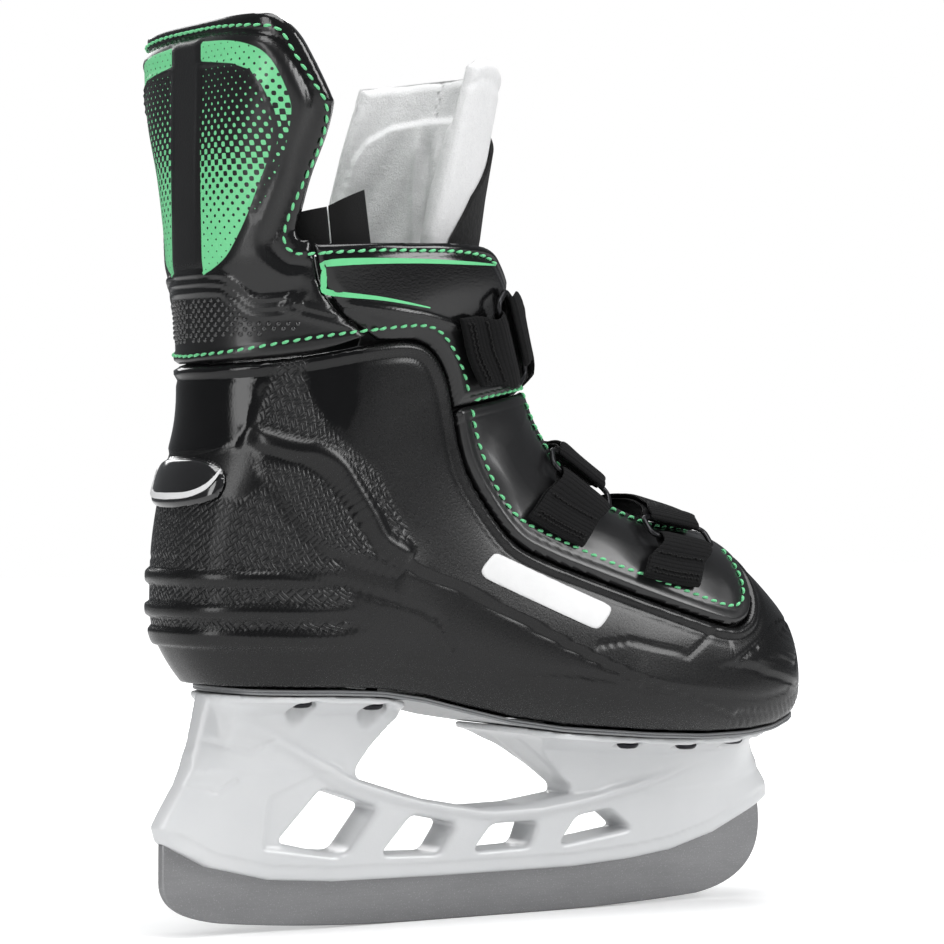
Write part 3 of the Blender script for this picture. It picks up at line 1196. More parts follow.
def build_bumps():
    """Rows of small domes moulded under the ridges of the guard and cuffs."""
    seeds = []
    rows = int((168 - 156) / BUMP_PITCH * 2)
    for k in range(rows + 4):
        v = 158.4 + k * BUMP_PITCH / 2
        for m in range(45):
            u = 1.2 + (m + 0.5 * (k % 2)) * BUMP_PITCH
            ridge_v = np.interp(u, [0, 13, 18, 23, 33, 38, 52, 64],
                                [172.0, 172.0, 169, 165.4, 165.4, 164.2, 160.6, 160])
            foot_v = np.interp(u, [0, 21, 36, 52, 64], [158.6, 159.6, 161.8, 163.4, 164])
            if foot_v + 0.6 < v < ridge_v - 0.8 and u < 42:
                seeds.append((u, v))
    for m in range(24):
        for k in (0, 1):
            x = -58 + m * 2.6 + 1.3 * k
            if x < -16:
                seeds.append((x, None, 165.6 + k * 1.6 + (-39 - x) * 0.045))
    points, faces = [], []
    around = np.linspace(0, 2 * np.pi, DOME_SIDES, endpoint=False)
    for sign in SIDES.values():
        for seed in seeds:
            finder = WRAPPED if len(seed) == 2 else SIDE_VIEW
            (c,), (n,) = on_boot([(seed[0], seed[-1])], finder, -0.6 if len(seed) == 2 else -0.05, sign)
            a = np.cross(n, [0, 0, 1.0])
            a /= np.linalg.norm(a)
            b = np.cross(n, a)
            base = len(points)
            for r, h in DOME_RINGS:
                points.extend(c + n * h + r * (math.cos(w) * a + math.sin(w) * b) for w in around)
            points.append(c + n * DOME_TOP)
            faces += grid_faces(len(DOME_RINGS), DOME_SIDES, closed=True, offset=base)
            faces.append([base + k for k in range(DOME_SIDES)][::-1])
            tip = base + len(DOME_RINGS) * DOME_SIDES
            last = tip - DOME_SIDES
            faces += [(last + k, last + (k + 1) % DOME_SIDES, tip) for k in range(DOME_SIDES)]
    finish_piece(weld(new_mesh("guard_bumps", points, faces)), TRIM)


# ---------------------------------------------------------------- solids from distances


def surface_net(name, distance, low, high, step):
    """A closed mesh of where distance(x, y, z) is zero, on a grid of cells of step millimetres."""
    axes = [np.arange(a, b + step, step) for a, b in zip(low, high)]
    x, y, z = np.meshgrid(*axes, indexing="ij", sparse=True)
    f = distance(x, y, z)
    full = f < 0
    shape = np.array(f.shape) - 1
    total = np.zeros((*shape, 3))
    hits = np.zeros(tuple(shape))
    base = np.stack(np.meshgrid(*[np.arange(n) for n in shape], indexing="ij"), -1)
    corners = [(i, j, k) for i in (0, 1) for j in (0, 1) for k in (0, 1)]

    def shifted(array, corner):
        return array[tuple(slice(c, c + n) for c, n in zip(corner, shape))]

    for a in corners:
        for axis in range(3):
            if a[axis]:
                continue
            b = tuple(c + (m == axis) for m, c in enumerate(a))
            fa, fb = shifted(f, a), shifted(f, b)
            crosses = (fa < 0) != (fb < 0)
            share = np.where(crosses, fa / np.where(crosses, fa - fb, 1), 0)
            for m in range(3):
                total[..., m] += crosses * (a[m] + (share if m == axis else 0))
            hits += crosses
    used = hits > 0
    index = -np.ones(tuple(shape), int)
    index[used] = np.arange(used.sum())
    places = (base[used] + total[used] / hits[used][:, None]) * step + np.array([a[0] for a in axes])
    faces = []
    for axis in range(3):
        u, v = (axis + 1) % 3, (axis + 2) % 3
        near = [slice(0, n) for n in shape]
        near[u], near[v] = slice(1, shape[u]), slice(1, shape[v])
        ahead = list(near)
        ahead[axis] = slice(1, shape[axis] + 1)
        here, there = full[tuple(near)], full[tuple(ahead)]
        for flip, mask in ((False, here & ~there), (True, ~here & there)):
            cells = np.argwhere(mask)
            cells[:, u] += 1
            cells[:, v] += 1
            quad = []
            for du, dv in ((0, 0), (-1, 0), (-1, -1), (0, -1)):
                c = cells.copy()
                c[:, u] += du
                c[:, v] += dv
                quad.append(index[c[:, 0], c[:, 1], c[:, 2]])
            faces.append(np.stack(quad if flip else quad[::-1], -1)[:, ::-1])
    return weld(new_mesh(name, places, np.concatenate(faces).tolist()), reach=0.0001)


def smooth_union(a, b, k):
    h = np.clip(0.5 + 0.5 * (b - a) / k, 0, 1)
    return b * (1 - h) + a * h - k * h * (1 - h)


def smooth_cut(a, b, k):
    """a without b, with the edge rounded."""
    return -smooth_union(-a, b, k)


def slabbed(outline, reach, half, radius):
    """Distance to an outline given thickness half each way about zero, with rounded rims."""
    u, v = outline + radius, reach - half + radius
    return np.hypot(np.maximum(u, 0), np.maximum(v, 0)) + np.minimum(np.maximum(u, v), 0) - radius


# ---------------------------------------------------------------- holder and runner
HOLDER_OUTLINE = [
    [-87, 68], [-91, 51], [-95.5, 41], [-99.5, 34.5], [-102, 30], [-101, 26], [-98.5, 24.6], [-88, 19],
    [-70, 14.6], [-50, 13], [-16, 12.6], [28, 12.6], [48, 13.8], [62, 15.6], [77, 19.8], [95, 28],
    [98.8, 29.5], [98, 34], [95, 38.5], [91, 46], [88, 56], [1.6, 56],
    [27, 36], [26.5, 33.4], [10, 31.2], [-4, 31], [-23, 34.5], [-43, 40.8], [-44, 44], [-36, 55], [-27, 68],
]
HOLDER_WINDOWS = [
    [[-53.6, 38.5], [-36, 32.8], [-45.8, 20.7], [-54, 21.4], [-67.5, 24.6]],
    [[-25.4, 30.1], [-10.8, 27.1], [-16.4, 19], [-35.4, 19.6]],
    [[0.7, 26.2], [16, 26.4], [13.3, 19.4], [-5.6, 18.9]],
    [[29.2, 27], [40.5, 28.6], [48, 22.6], [23, 19.2]],
]
LOWER_EDGE = [[-98.5, 24.6], [-88, 19], [-70, 14.6], [-50, 13], [-16, 12.6], [28, 12.6], [48, 13.8],
              [62, 15.6], [77, 19.8], [95, 28]]
TOP_RAIL = [[-83, 60], [-70, 53], [-57, 46], [-46, 40.2], [-30, 35], [-14, 31.4], [0, 29.2], [16, 29.4],
            [30, 31.2], [44, 33.6], [58, 37.2], [76, 44.5]]
HOLDER_POCKET = [[-72, 38], [-56, 44], [-42, 36], [-48, 18], [-74, 22]]
# How far a flange's thin overhang reaches below its top.
SHELF_DEPTH = 5.2
REAR_EDGE = [[-87, 68], [-91, 51], [-95.5, 41], [-99.5, 34.5], [-102, 30], [-101, 26]]
NOSE_EDGE = [[98.8, 29.5], [98, 34], [95, 38.5], [91, 46], [88, 56]]
FLANGES = [
    {"from": -87, "to": -31.5, "half": 22, "rear": 20, "front": 10, "skirt": 15, "span": (-92, -26)},
    {"from": 1.8, "to": 96, "half": 26.5, "rear": 12, "front": 36, "skirt": 10, "span": (2, 96)},
]
RIVETS = [[-65, 14], [-43, 14], [37, 20], [57, 20], [75, 17.5]]
NOTCHES = [[[-99, 53.5], [-88, 52.4], [-77, 49.4], [-70, 52.6]],
           [[-100, 42], [-92, 40.5], [-86, 39.2], [-80, 42.2]]]


def flange_half(flange, x):
    rear = np.clip((flange["from"] + flange["rear"] - x) / flange["rear"], 0, 1)
    front = np.clip((x - flange["to"] + flange["front"]) / flange["front"], 0, 1)
    return flange["half"] * np.sqrt(1 - rear**2.4) * np.sqrt(1 - front**2.2)


def holder_distance(x, y, z):
    x2, z2 = np.broadcast_arrays(x[:, 0], z[0, 0][None])
    outline = outline_distance(smooth_line(HOLDER_OUTLINE + HOLDER_OUTLINE[:1], 1), x2, z2)
    side = outline.copy()
    for window in HOLDER_WINDOWS:
        side = np.maximum(side, -outline_distance(roundish(window, 2.2, 7), x2, z2))
    lower = segments_distance(LOWER_EDGE, x2, z2)
    rail = side_of(TOP_RAIL, x2, z2)
    half = np.full(x2.shape, HOLDER_HALF)
    half -= 0.55 * smoothstep(4.3, 3.7, lower)
    half += 1.7 * bell(rail, 1.7) * smoothstep(78, 66, x2)
    half += 0.5 * smoothstep(-1, 8, rail) * smoothstep(-30, -50, x2)
    half -= 0.9 * smoothstep(0.8, 2.4, -outline_distance(HOLDER_POCKET, x2, z2))
    for notch in NOTCHES:
        half -= 0.7 * bell(segments_distance(notch, x2, z2), 0.6)
    rounding = np.ones(x2.shape)
    for edge, depth in ((REAR_EDGE, 12), (NOSE_EDGE, 11)):
        share = np.clip(segments_distance(edge, x2, z2) / depth, 0, 1)
        rounding *= np.sqrt(1 - 0.86 * (1 - share) ** 2)
    half = half * rounding
    reach = np.abs(y)
    web = slabbed(side[:, None, :], reach, half[:, None, :], 1.3)
    top = sole_at(x) - FLANGE_DROP
    body = web
    for flange in FLANGES:
        wide = flange_half(flange, x)
        low, high = flange["span"]
        down = top - z
        pedestal = np.minimum(12.3, np.maximum(wide - 1.5, 7))
        pedestal = pedestal * rounding[:, None, :]
        shelf = np.clip(1 - down / SHELF_DEPTH, 0, 1)
        skirt = np.clip(1 - (down - SHELF_DEPTH) / flange["skirt"], 0, 1)
        web_half = half[:, None, :]
        overhang = np.maximum(wide - 0.4, pedestal) - pedestal
        cove = np.where(down < SHELF_DEPTH, pedestal + overhang * shelf**0.9,
                        web_half + (pedestal - web_half) * skirt**1.7)
        steep = 1 + 1.9 * (down < SHELF_DEPTH) * shelf**0.5
        beyond = np.maximum(np.maximum(low - x, x - high), outline[:, None, :])
        column = np.maximum(np.maximum((reach - cove) / steep, z - top + 0.6), beyond)
        column = np.maximum(column, down - SHELF_DEPTH - flange["skirt"])
        plate = np.maximum((reach - wide) * 0.9, np.abs(z - top + 0.9) - 0.4)
        plate = np.maximum(plate, np.maximum(flange["from"] - x, x - flange["to"])) - 0.5
        body = smooth_union(body, smooth_union(column, plate, 1.2), 1.6)
    for place, out in RIVETS:
        seat = sole_at(place) - FLANGE_DROP - 1.6
        spot = np.maximum(np.hypot(x - place, reach - out) - 3.9, z - seat)
        body = smooth_cut(body, spot, 0.5)
        mouth = np.hypot((x - place) / 3.0, (z - seat + 0.9) / 1.25) - 1
        body = smooth_cut(body, np.maximum(mouth * 1.25, out - 3 - reach), 0.3)
    return np.maximum(body, z - top)


def runner_outline():
    def bend(a, b, c, steps=10):
        f = np.linspace(0, 1, steps + 1)[1:, None]
        return (1 - f) ** 2 * np.array(a) + 2 * f * (1 - f) * np.array(b) + f**2 * np.array(c)

    parts = [[[-20, 0], [20, 0]], bend([20, 0], [48, 0], [74, 2]),
             bend([74, 2], [96.5, 5.5], [96.5, 22], 16),
             bend([96.5, 22], [96.5, 31], [93, 34]), [[82, 30], [80, 38], [68, 38], [66, 25]],
             bend([66, 25], [48, 20], [28, 18]), [[-56, 18.6]], bend([-56, 18.6], [-68, 20], [-74, 24]),
             [[-76, 40], [-88, 40], [-90, 29], [-96, 30]], bend([-96, 30], [-100, 29], [-100, 24]),
             [[-100, 15]], bend([-100, 15], [-100, 5], [-80, 3], 16), bend([-80, 3], [-52, 0], [-20, 0])]
    return np.vstack(parts)[:-1]


def build_runner():
    outline = runner_outline()
    count = len(outline)
    ahead = np.roll(outline, -1, axis=0) - np.roll(outline, 1, axis=0)
    normal = np.stack([ahead[:, 1], -ahead[:, 0]], -1)
    normal /= np.linalg.norm(normal, axis=1, keepdims=True)
    layers = []
    for inset, y in ((0.35, -1.5), (0.0, -1.15), (0.0, 1.15), (0.35, 1.5)):
        flat = outline - normal * inset
        layers.append(np.stack([flat[:, 0], np.full(count, y), flat[:, 1]], -1))
    points = np.concatenate(layers)
    faces = grid_faces(4, count, closed=True)
    faces += [list(range(count)), [3 * count + k for k in range(count)][::-1]]
    obj = weld(new_mesh("runner_plate", points, faces, smooth=False))
    uv_layer(obj, np.array([[v.co.x / MM, v.co.z / MM] for v in obj.data.vertices]))
    finish_piece(obj, RUNNER, stands_for=["blade_runner"])


def build_holder():
    step = 0.62
    obj = surface_net("holder_body", holder_distance, (-104, -28, 10), (101, 28, 67), step)
    smooth = obj.modifiers.new("smooth", "SMOOTH")
    smooth.factor, smooth.iterations = 0.45, 3
    finish_piece(obj, HOLDER, stands_for=["blade_holder"])
    number = 0
    for x, out in RIVETS:
        for y in (-out, out):
            number += 1
            seat = sole_at(x) - FLANGE_DROP - 1.6 - PIECE_GAP
            top = sole_at(x) + WALL - 0.4
            profile = [[0, seat - 1.5], [0.9, seat - 1.5], [1.1, seat - 1.1], [1.5, seat - 1.05],
                       [1.9, seat - 1.4],
                       [2.6, seat - 1.1], [3.05, seat - 0.5], [3.05, seat], [1.6, seat], [1.6, top],
                       [0, top]]
            rivet = lathe(f"rivet_{number}", profile, (x, y, 0))
            finish_piece(rivet, RIVET, stands_for=[f"holder_rivet_{number}"])


# ---------------------------------------------------------------- soles and lining


def sole_plate(name, start, end, low, high, depth, margin, material, stands_for, groove=0.0):
    """A plate under or inside the boot's bottom, with a groove round its edge."""
    t, a = np.meshgrid(np.arange(0.2, 12.5, 0.05), np.radians(np.arange(2, 90, 1.0)), indexing="ij")
    p = boot_point(t.ravel(), a.ravel(), depth)
    flat = p[p[:, 2] < sole_at(p[:, 0]) + depth + 0.05]
    columns = (start + end) / 2 - (end - start) / 2 * np.cos(np.linspace(0, np.pi, 90))
    rings = []
    for x in columns:
        near = flat[np.abs(flat[:, 0] - x) < 1.2]
        half = max(2.5, (-near[:, 1]).max() - margin if len(near) else 2.5)
        edge = max(0.0, min(1.0, (x - start) / 6, (end - x) / 6))
        half *= math.sqrt(1 - (1 - edge) ** 2) * 0.96 + 0.04
        middle = (low + high) / 2
        section = [(half - 0.3, low), (half, low + 0.35), (half, middle - 0.2), (half - groove, middle),
                   (half, middle + 0.2), (half, high - 0.3), (half - 0.3, high)]
        section += [(-u, v) for u, v in section[::-1]]
        rings.append([(x, u, sole_at(x) + v) for u, v in section])
    rings = np.array(rings)
    faces = grid_faces(*rings.shape[:2], closed=True)
    count = rings.shape[1]
    faces += [list(range(count))[::-1], [(len(rings) - 1) * count + k for k in range(count)]]
    obj = weld(new_mesh(name, rings.reshape(-1, 3), faces, smooth=False))
    return finish_piece(obj, material, stands_for=stands_for)


def build_inside():
    sole_plate("outsole_plate", -85, 97, PIECE_GAP - FLANGE_DROP, -SOLE_GAP, 0, 0.8, OUTSOLE,
               ["outsole"], groove=0.35)
    insole = sole_plate("insole_pad", -80, 88, 7.3, 9.3, LINER_IN, 5.3, INSOLE, ["insole"])
    outline = [[-130, 20], [-130, 206], [-86, 206], [-79, 202], [-75.5, 186], [-72, 183.4]]
    outline += [[x, z - 1.4] for x, z in COLLAR_LINE[1:4]] + [[10, 172], [120, 150], [120, 20]]

    def region(p, t, arc):
        x, y, z = p[..., 0], p[..., 1], p[..., 2]
        tongue = np.where(t < 4.9, -9, np.interp(t, THROAT[:, 0], THROAT[:, 1]) + 10 - np.abs(y))
        high = z - np.where(t < 11, 95, 130)
        return np.maximum(outline_distance(outline, x, z) + PIECE_GAP, np.minimum(tongue, high))

    def puff(p, t, arc):
        quilt = smoothstep(0.3, 0.9, np.abs(np.sin(arc * np.pi / 22)))
        return -0.35 * quilt * smoothstep(120, 150, p[..., 2])

    liner = skin("liner_skin", Grid(np.arange(0, 17.4, 0.08), 80), region, LINER_OUT, LINER_IN, puff,
                 roll=1.0)
    finish_piece(liner, LINING, stands_for=["liner"])


# ---------------------------------------------------------------- straps and rings
STRAP_H = 3.25          # middle of a strap's lower layer above the boot surface
LAYER = 1.15            # thickness of the webbing
BAR = RING_LONG / 2


def strap_place(strap, share, side):
    """Station and angle at a share along a strap (0 sewn foot, 1 ring, 2 instep, 4 far end)."""
    near = np.where(share > 2, 4 - share, share)
    lines = np.array([strap["foot"], strap["ring"], strap["crown"]], float)
    i = np.minimum(1, np.floor(near).astype(int))
    f = (near - i)[..., None]
    rear = lines[i, 0] * (1 - f) + lines[i + 1, 0] * f
    front = lines[i, 1] * (1 - f) + lines[i + 1, 1] * f
    t, angle = np.moveaxis(rear * (1 - side[..., None]) + front * side[..., None], -1, 0)
    return t, np.radians(np.where(share > 2, 360 - angle, angle))


class Strap:
    """Places on a strap from v, the distance along it from the ring, h above the boot, and side 0 to 1."""

    def __init__(self, name):
        self.strap = STRAPS[name]

        def at(share, side, h=RING_LIFT):
            t, a = strap_place(self.strap, np.array([share], float), np.array([side], float))
            return boot_point(t, a, -h)[0]

        rear, front = at(1, 0), at(1, 1)
        ahead = at(1.1, 0.5) - at(0.9, 0.5)
        self.across = (front - rear) / np.linalg.norm(front - rear)
        out = np.cross(self.across, ahead)
        out /= np.linalg.norm(out)
        self.out = -out if out[1] > 0 else out
        self.round = np.cross(self.out, self.across)
        if self.round @ ahead < 0:
            self.round = -self.round
        self.centre = ((rear + front) / 2 + at(1, 0.5)) / 2
        self.wide = np.linalg.norm(front - rear)
        shares = np.linspace(0, 4, 400)
        t, a = strap_place(self.strap, shares, np.full(400, 0.5))
        run = np.cumsum(np.linalg.norm(np.diff(boot_point(t, a, -STRAP_H), axis=0), axis=1))
        run = np.concatenate([[0], run])
        self.shares, self.run = shares, run - np.interp(1, shares, run)

    def v_at(self, share):
        return np.interp(share, self.shares, self.run)

    def place(self, v, h, side):
        v, h, side = np.broadcast_arrays(v, h, side)
        t, a = strap_place(self.strap, np.interp(v, self.run, self.shares), side)
        boot = boot_point(t, a, 0.0) + boot_normal(t, a, 0.0) * h[..., None]
        flat = (self.centre + self.across * ((side - 0.5) * self.wide)[..., None]
                + self.round * v[..., None] + self.out * (h - RING_LIFT)[..., None])
        w = smoothstep(6, 12.5, np.abs(v))[..., None]
        return boot * w + flat * (1 - w)


def ribbon_strap(name, strap, path, thick=LAYER, closed=False, sides=13):
    """Webbing along a path of (v, h), with rounded selvages."""
    path = np.asarray(path, float)
    ahead = np.gradient(path, axis=0)
    if closed:
        ahead = (np.roll(path, -1, axis=0) - np.roll(path, 1, axis=0)) / 2
    ahead /= np.linalg.norm(ahead, axis=1, keepdims=True)
    normal = np.stack([-ahead[:, 1], ahead[:, 0]], -1)
    side = (1 - np.cos(np.linspace(0, np.pi, sides))) / 2
    plump = np.sqrt(np.clip(1 - np.abs(2 * side - 1) ** 6, 0.03, 1))
    layers = []
    for sign in (1, -1):
        v = path[:, 0, None] + sign * normal[:, 0, None] * thick / 2 * plump[None]
        h = path[:, 1, None] + sign * normal[:, 1, None] * thick / 2 * plump[None]
        layers.append(strap.place(v, h, side[None]))
    rows, columns = layers[0].shape[:2]
    ring = np.concatenate([layers[0], layers[1][:, ::-1]], 1)
    faces = []
    wide = 2 * columns
    last = rows if closed else rows - 1
    for i in range(last):
        k = (i + 1) % rows
        for j in range(wide):
            m = (j + 1) % wide
            faces.append((i * wide + j, k * wide + j, k * wide + m, i * wide + m))
    if not closed:
        for row in (0, rows - 1):
            for j in range(columns - 1):
                a, b = row * wide + j, row * wide + j + 1
                faces.append((a, b, row * wide + wide - 2 - j, row * wide + wide - 1 - j))
    obj = new_mesh(name, ring.reshape(-1, 3), faces)
    step = np.concatenate([[0], np.cumsum(np.linalg.norm(np.diff(path, axis=0), axis=1))])
    across = np.concatenate([side, side[::-1]]) * strap.wide
    uv = np.stack([np.broadcast_to(across, (rows, wide)), np.broadcast_to(step[:, None], (rows, wide))], -1)
    uv_layer(obj, uv.reshape(-1, 2))
    return weld(obj, 0.001)


def arc_path(centre, radius, start, end, steps=10):
    a = np.radians(np.linspace(start, end, steps))
    return np.stack([centre[0] + radius * np.cos(a), centre[1] + radius * np.sin(a)], -1)


# Height of the webbing's middle line where it wraps a ring's bar, above and below the bar.
TURN = RING_WIRE / 2 + LAYER / 2 + 0.1
RING_STEPS = 120
WIRE_SIDES = 14
# The ring's outline is a superellipse: this power squares its corners.
RING_POWER = 0.45


def build_fold(name, strap):
    """The sewn end: webbing doubled round the ring's near bar, with three rows of stitches."""
    foot, near = strap.v_at(0), -BAR - 2
    bends = [foot, foot + 3, near]
    bottoms = [STRAP_H - 0.5, STRAP_H - 0.1, RING_LIFT - TURN]
    tops = [STRAP_H + 0.65, STRAP_H + 1.05, RING_LIFT + TURN]
    out = np.linspace(foot + 0.4, near, 12)
    back = np.linspace(near, foot + 0.4, 12)
    low = np.stack([out, np.interp(out, bends, bottoms)], -1)
    high = np.stack([back, np.interp(back, bends, tops)], -1)
    end = [[foot + 0.05, STRAP_H + 0.35], [foot + 0.05, STRAP_H - 0.2]]
    loop = arc_path((-BAR, RING_LIFT), TURN, -90, 90, 12)
    fold = ribbon_strap(f"strap_{name}_fold", strap, np.vstack([low, loop, high, end]), closed=True)
    finish_piece(fold, WEBBING, stands_for=[f"strap_{name}_anchor"])
    rows = []
    for v in (foot + 1.6, foot + 2.9, (foot - BAR) / 2 + 0.4):
        sides = np.linspace(0.06, 0.94, int(strap.wide / 1.1))
        wave = v + 0.45 * np.where(np.arange(len(sides)) % 2, 1, -1)
        h = np.interp(wave, bends, tops) + LAYER / 2
        line = strap.place(wave, h, sides)
        ahead = strap.place(wave + 0.5, h, sides) - line
        over = strap.place(wave, h, np.clip(sides + 0.02, 0, 1)) - line
        normals = np.cross(over, ahead)
        normals *= np.sign((normals * strap.out).sum(-1))[:, None]
        rows.append((line, normals / np.linalg.norm(normals, axis=1, keepdims=True)))
    stitches(f"strap_{name}_sewing", rows, pitch=1.35, length=1.3, radius=0.24, slant=0,
             material=BLACK_THREAD)


def build_under(name, strap):
    """The webbing that lies on the boot from the ring to the far side."""
    far = strap.v_at(4)
    steps = np.linspace(BAR + 0.7, far - 0.3, 90)
    lift = np.interp(steps, [BAR, BAR + 8], [RING_LIFT - TURN - 0.15, STRAP_H])
    lift -= 0.9 * smoothstep(far - 7, far, steps)
    under = ribbon_strap(f"strap_{name}_under", strap, np.stack([steps, lift], -1))
    finish_piece(under, WEBBING, stands_for=[f"strap_{name}_base"])


def build_pull(name, strap):
    """The hook tail, from round the ring's far bar back over the webbing."""
    loop = arc_path((BAR, RING_LIFT), TURN, 162, 90, 9)
    start = BAR + 1.2
    steps = np.linspace(start, strap.v_at(TAIL_END), 60)
    over = np.interp(steps, [start, BAR + 5, BAR + 10],
                     [RING_LIFT + TURN, RING_LIFT + 1.25, STRAP_H + 1.45])
    path = np.vstack([loop, np.stack([steps, over], -1)])
    pull = ribbon_strap(f"strap_{name}_pull", strap, path, thick=1.25)
    finish_piece(pull, TAPE, body=f"tail_{name}", stands_for=[f"strap_{name}_tail"])


def build_loop(name, strap):
    """The wire ring."""
    a = np.linspace(0, 2 * np.pi, RING_STEPS, endpoint=False)
    u = (strap.wide / 2 + RING_SIDE) * np.sign(np.cos(a)) * np.abs(np.cos(a)) ** RING_POWER
    v = BAR * np.sign(np.sin(a)) * np.abs(np.sin(a)) ** RING_POWER
    line = strap.centre + strap.across * u[:, None] + strap.round * v[:, None]
    ahead = np.roll(line, -1, axis=0) - np.roll(line, 1, axis=0)
    ahead /= np.linalg.norm(ahead, axis=1, keepdims=True)
    beside = np.cross(ahead, strap.out)
    w = np.linspace(0, 2 * np.pi, WIRE_SIDES, endpoint=False)
    section = np.cos(w)[None, :, None] * beside[:, None] + np.sin(w)[None, :, None] * strap.out
    tube = line[:, None] + RING_WIRE / 2 * section
    faces = grid_faces(RING_STEPS + 1, WIRE_SIDES, closed=True)
    faces = [[k % (RING_STEPS * WIRE_SIDES) for k in f] for f in faces]
    ring = weld(new_mesh(f"strap_{name}_loop", tube.reshape(-1, 3), faces), 0.0001)
    finish_piece(ring, RING, body=f"ring_{name}", stands_for=[f"strap_{name}_ring"])


def build_straps():
    for name in STRAPS:
        strap = Strap(name)
        build_fold(name, strap)
        build_under(name, strap)
        build_pull(name, strap)
        build_loop(name, strap)


# ---------------------------------------------------------------- tongue and labels
# Height, front x, back x of the wings, half width.
TONGUE_ROWS = np.array([
    [160, -9, -39, 22], [172, -8, -39, 23], [180, -6.5, -38.5, 24.3], [188.6, -4.5, -38, 25],
    [200, -3, -35, 25.5],
    [214, -0.5, -31, 26], [228, 2, -26, 26.5], [240, 3.9, -22.2, 26.5], [250, 5, -20, 26.5],
])


def tongue_point(z, share, inset):
    row = [np.interp(z, TONGUE_ROWS[:, 0], TONGUE_ROWS[:, k]) for k in (1, 2, 3)]
    a = np.pi / 2 * share
    x = row[1] + (row[0] - inset - row[1]) * np.cos(a)
    return np.stack([x, (row[2] - inset) * np.sin(a), np.broadcast_to(z, x.shape)], -1)


def tongue_top(share):
    return np.interp(share, [-0.84, -0.74, -0.6, -0.35, -0.1, 0.15, 0.5, 1.0],
                     [235.2, 237.4, 237.6, 235.2, 234.6, 235.4, 234.8, 232.6])


def build_tongue():
    share = np.linspace(-0.84, 1.0, 190)[None]
    level = np.concatenate([np.linspace(0, 0.9, 130), np.linspace(0.9, 1, 25)[1:]])[:, None]
    z = 173 + (tongue_top(share) - 173) * level
    rim = tongue_top(share) - z
    wing = np.minimum(share + 0.84, 1.0 - share) * 42
    edge = np.minimum(rim, wing)
    round_off = 2.9 * (1 - np.sqrt(np.clip(1 - (1 - np.clip(edge / 3.0, 0, 1)) ** 2, 0, 1)))
    arc = np.interp(np.abs(share), [0, 0.45, 0.7, 0.86, 0.93, 0.97], [224.6, 224.4, 222.6, 218.6, 213, 200])
    padded = smoothstep(-0.3, 2.2, arc - z)
    folds = 0.9 * bell(share - 0.42 - (z - 205) * 0.003, 0.035)
    folds = folds - 1.1 * bell(share - 0.33 - (z - 205) * 0.004, 0.05)
    folds = folds + 0.8 * bell(share - 0.24 - (z - 205) * 0.002, 0.04)
    folds = folds * smoothstep(224, 212, z) * smoothstep(180, 192, z)
    wobble = 0.35 * np.sin(z * 0.21 + share * 7) * np.sin(share * 15 + z * 0.05)
    inner = TONGUE_THICK - 1.6 + 1.7 * padded + folds + wobble - round_off
    outer = 0.15 * np.sin(z * 0.13 + share * 5) + round_off + 0.4 * bell(rim - 5.5, 1.2)
    seam = 0.5 * bell(share - 0.36 + 0.012 * np.sign(np.sin(z * 1.6)), 0.006) * (z > 224)
    inner = inner - seam
    front = tongue_point(z, np.broadcast_to(share, z.shape), outer)
    back = tongue_point(z, np.broadcast_to(share, z.shape), np.maximum(inner, outer + 0.5))
    felt = slab("tongue_felt_pad", front, back)
    finish_piece(felt, FELT, body=None, stands_for=["tongue_upper"])
    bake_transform(felt)

    z = np.linspace(184, 219, 60)[:, None]
    reach = np.interp(z, [184, 188, 200, 212, 219], [0.74, 0.72, 0.58, 0.34, 0.08])
    share = np.linspace(-1, 1, 61)[None] * reach
    flat = np.broadcast_to(z, share.shape)
    facing = slab("tongue_front_cloth", tongue_point(flat, share, -1.25), tongue_point(flat, share, -0.2))
    finish_piece(facing, FACING, body="tongue_top", stands_for=["tongue_facing"])

    grid = Grid(np.arange(5.2, 15.6, 0.06), angles=np.radians(np.linspace(148, 212, 60)))
    lower = skin("tongue_lower_pad", grid, None, LINER_OUT - 0.2, LINER_IN - 0.4,
                 lambda p, t, arc: 0.35 * np.cos(p[..., 1] * 0.45), roll=1.0)
    finish_piece(lower, LINING, stands_for=["tongue_lower"])


LABEL_FOOT = 182.0
# Each label's first and last angle round the collar, and its top's height at each.
LABELS = ((44.5, 64.4, 192.4, 194.8), (65.0, 80, 195.0, 199.6))
LABEL_THICK = 0.4
LABEL_ROWS = 40
LABEL_COLUMNS = 24


def build_labels():
    depth = LINER_IN + PIECE_GAP
    for number, (low, high, z_low, z_high) in enumerate(LABELS, 1):
        angles = np.radians(np.linspace(low, high, LABEL_COLUMNS))
        rows = np.linspace(15.8, 17.1, LABEL_ROWS)
        heights = boot_point(rows[:, None], angles[None], depth)[..., 2]
        top = np.linspace(z_low, z_high, LABEL_COLUMNS)
        t = np.array([np.interp(np.linspace(LABEL_FOOT, end, LABEL_ROWS), column, rows)
                      for end, column in zip(top, heights.T)]).T
        a = np.broadcast_to(angles, t.shape)
        curl = 0.5 * np.sin(np.linspace(0, 2.2, LABEL_ROWS))[:, None]
        curl = curl + 0.35 * np.cos(np.linspace(0, 5, LABEL_COLUMNS))[None]
        outer = boot_point(t, a, depth + curl)
        inner = boot_point(t, a, depth + curl + LABEL_THICK)
        label = slab(f"care_label_{number}", outer, inner)
        names = ["care_label"] if number == 1 else ()
        finish_piece(label, LABEL, stands_for=names)


# ---------------------------------------------------------------- light, floor and camera


FLOOR_HALF = 3000
FLOOR_LEVEL = -0.05
# Metres, in the frame's own axes.
LOOK_AT = (0, 0, 0.12)
CAMERA_PLACE = (-0.5390, -0.8591, 0.1245)
CAMERA_TURN = -32
CAMERA_LENS = 137.8


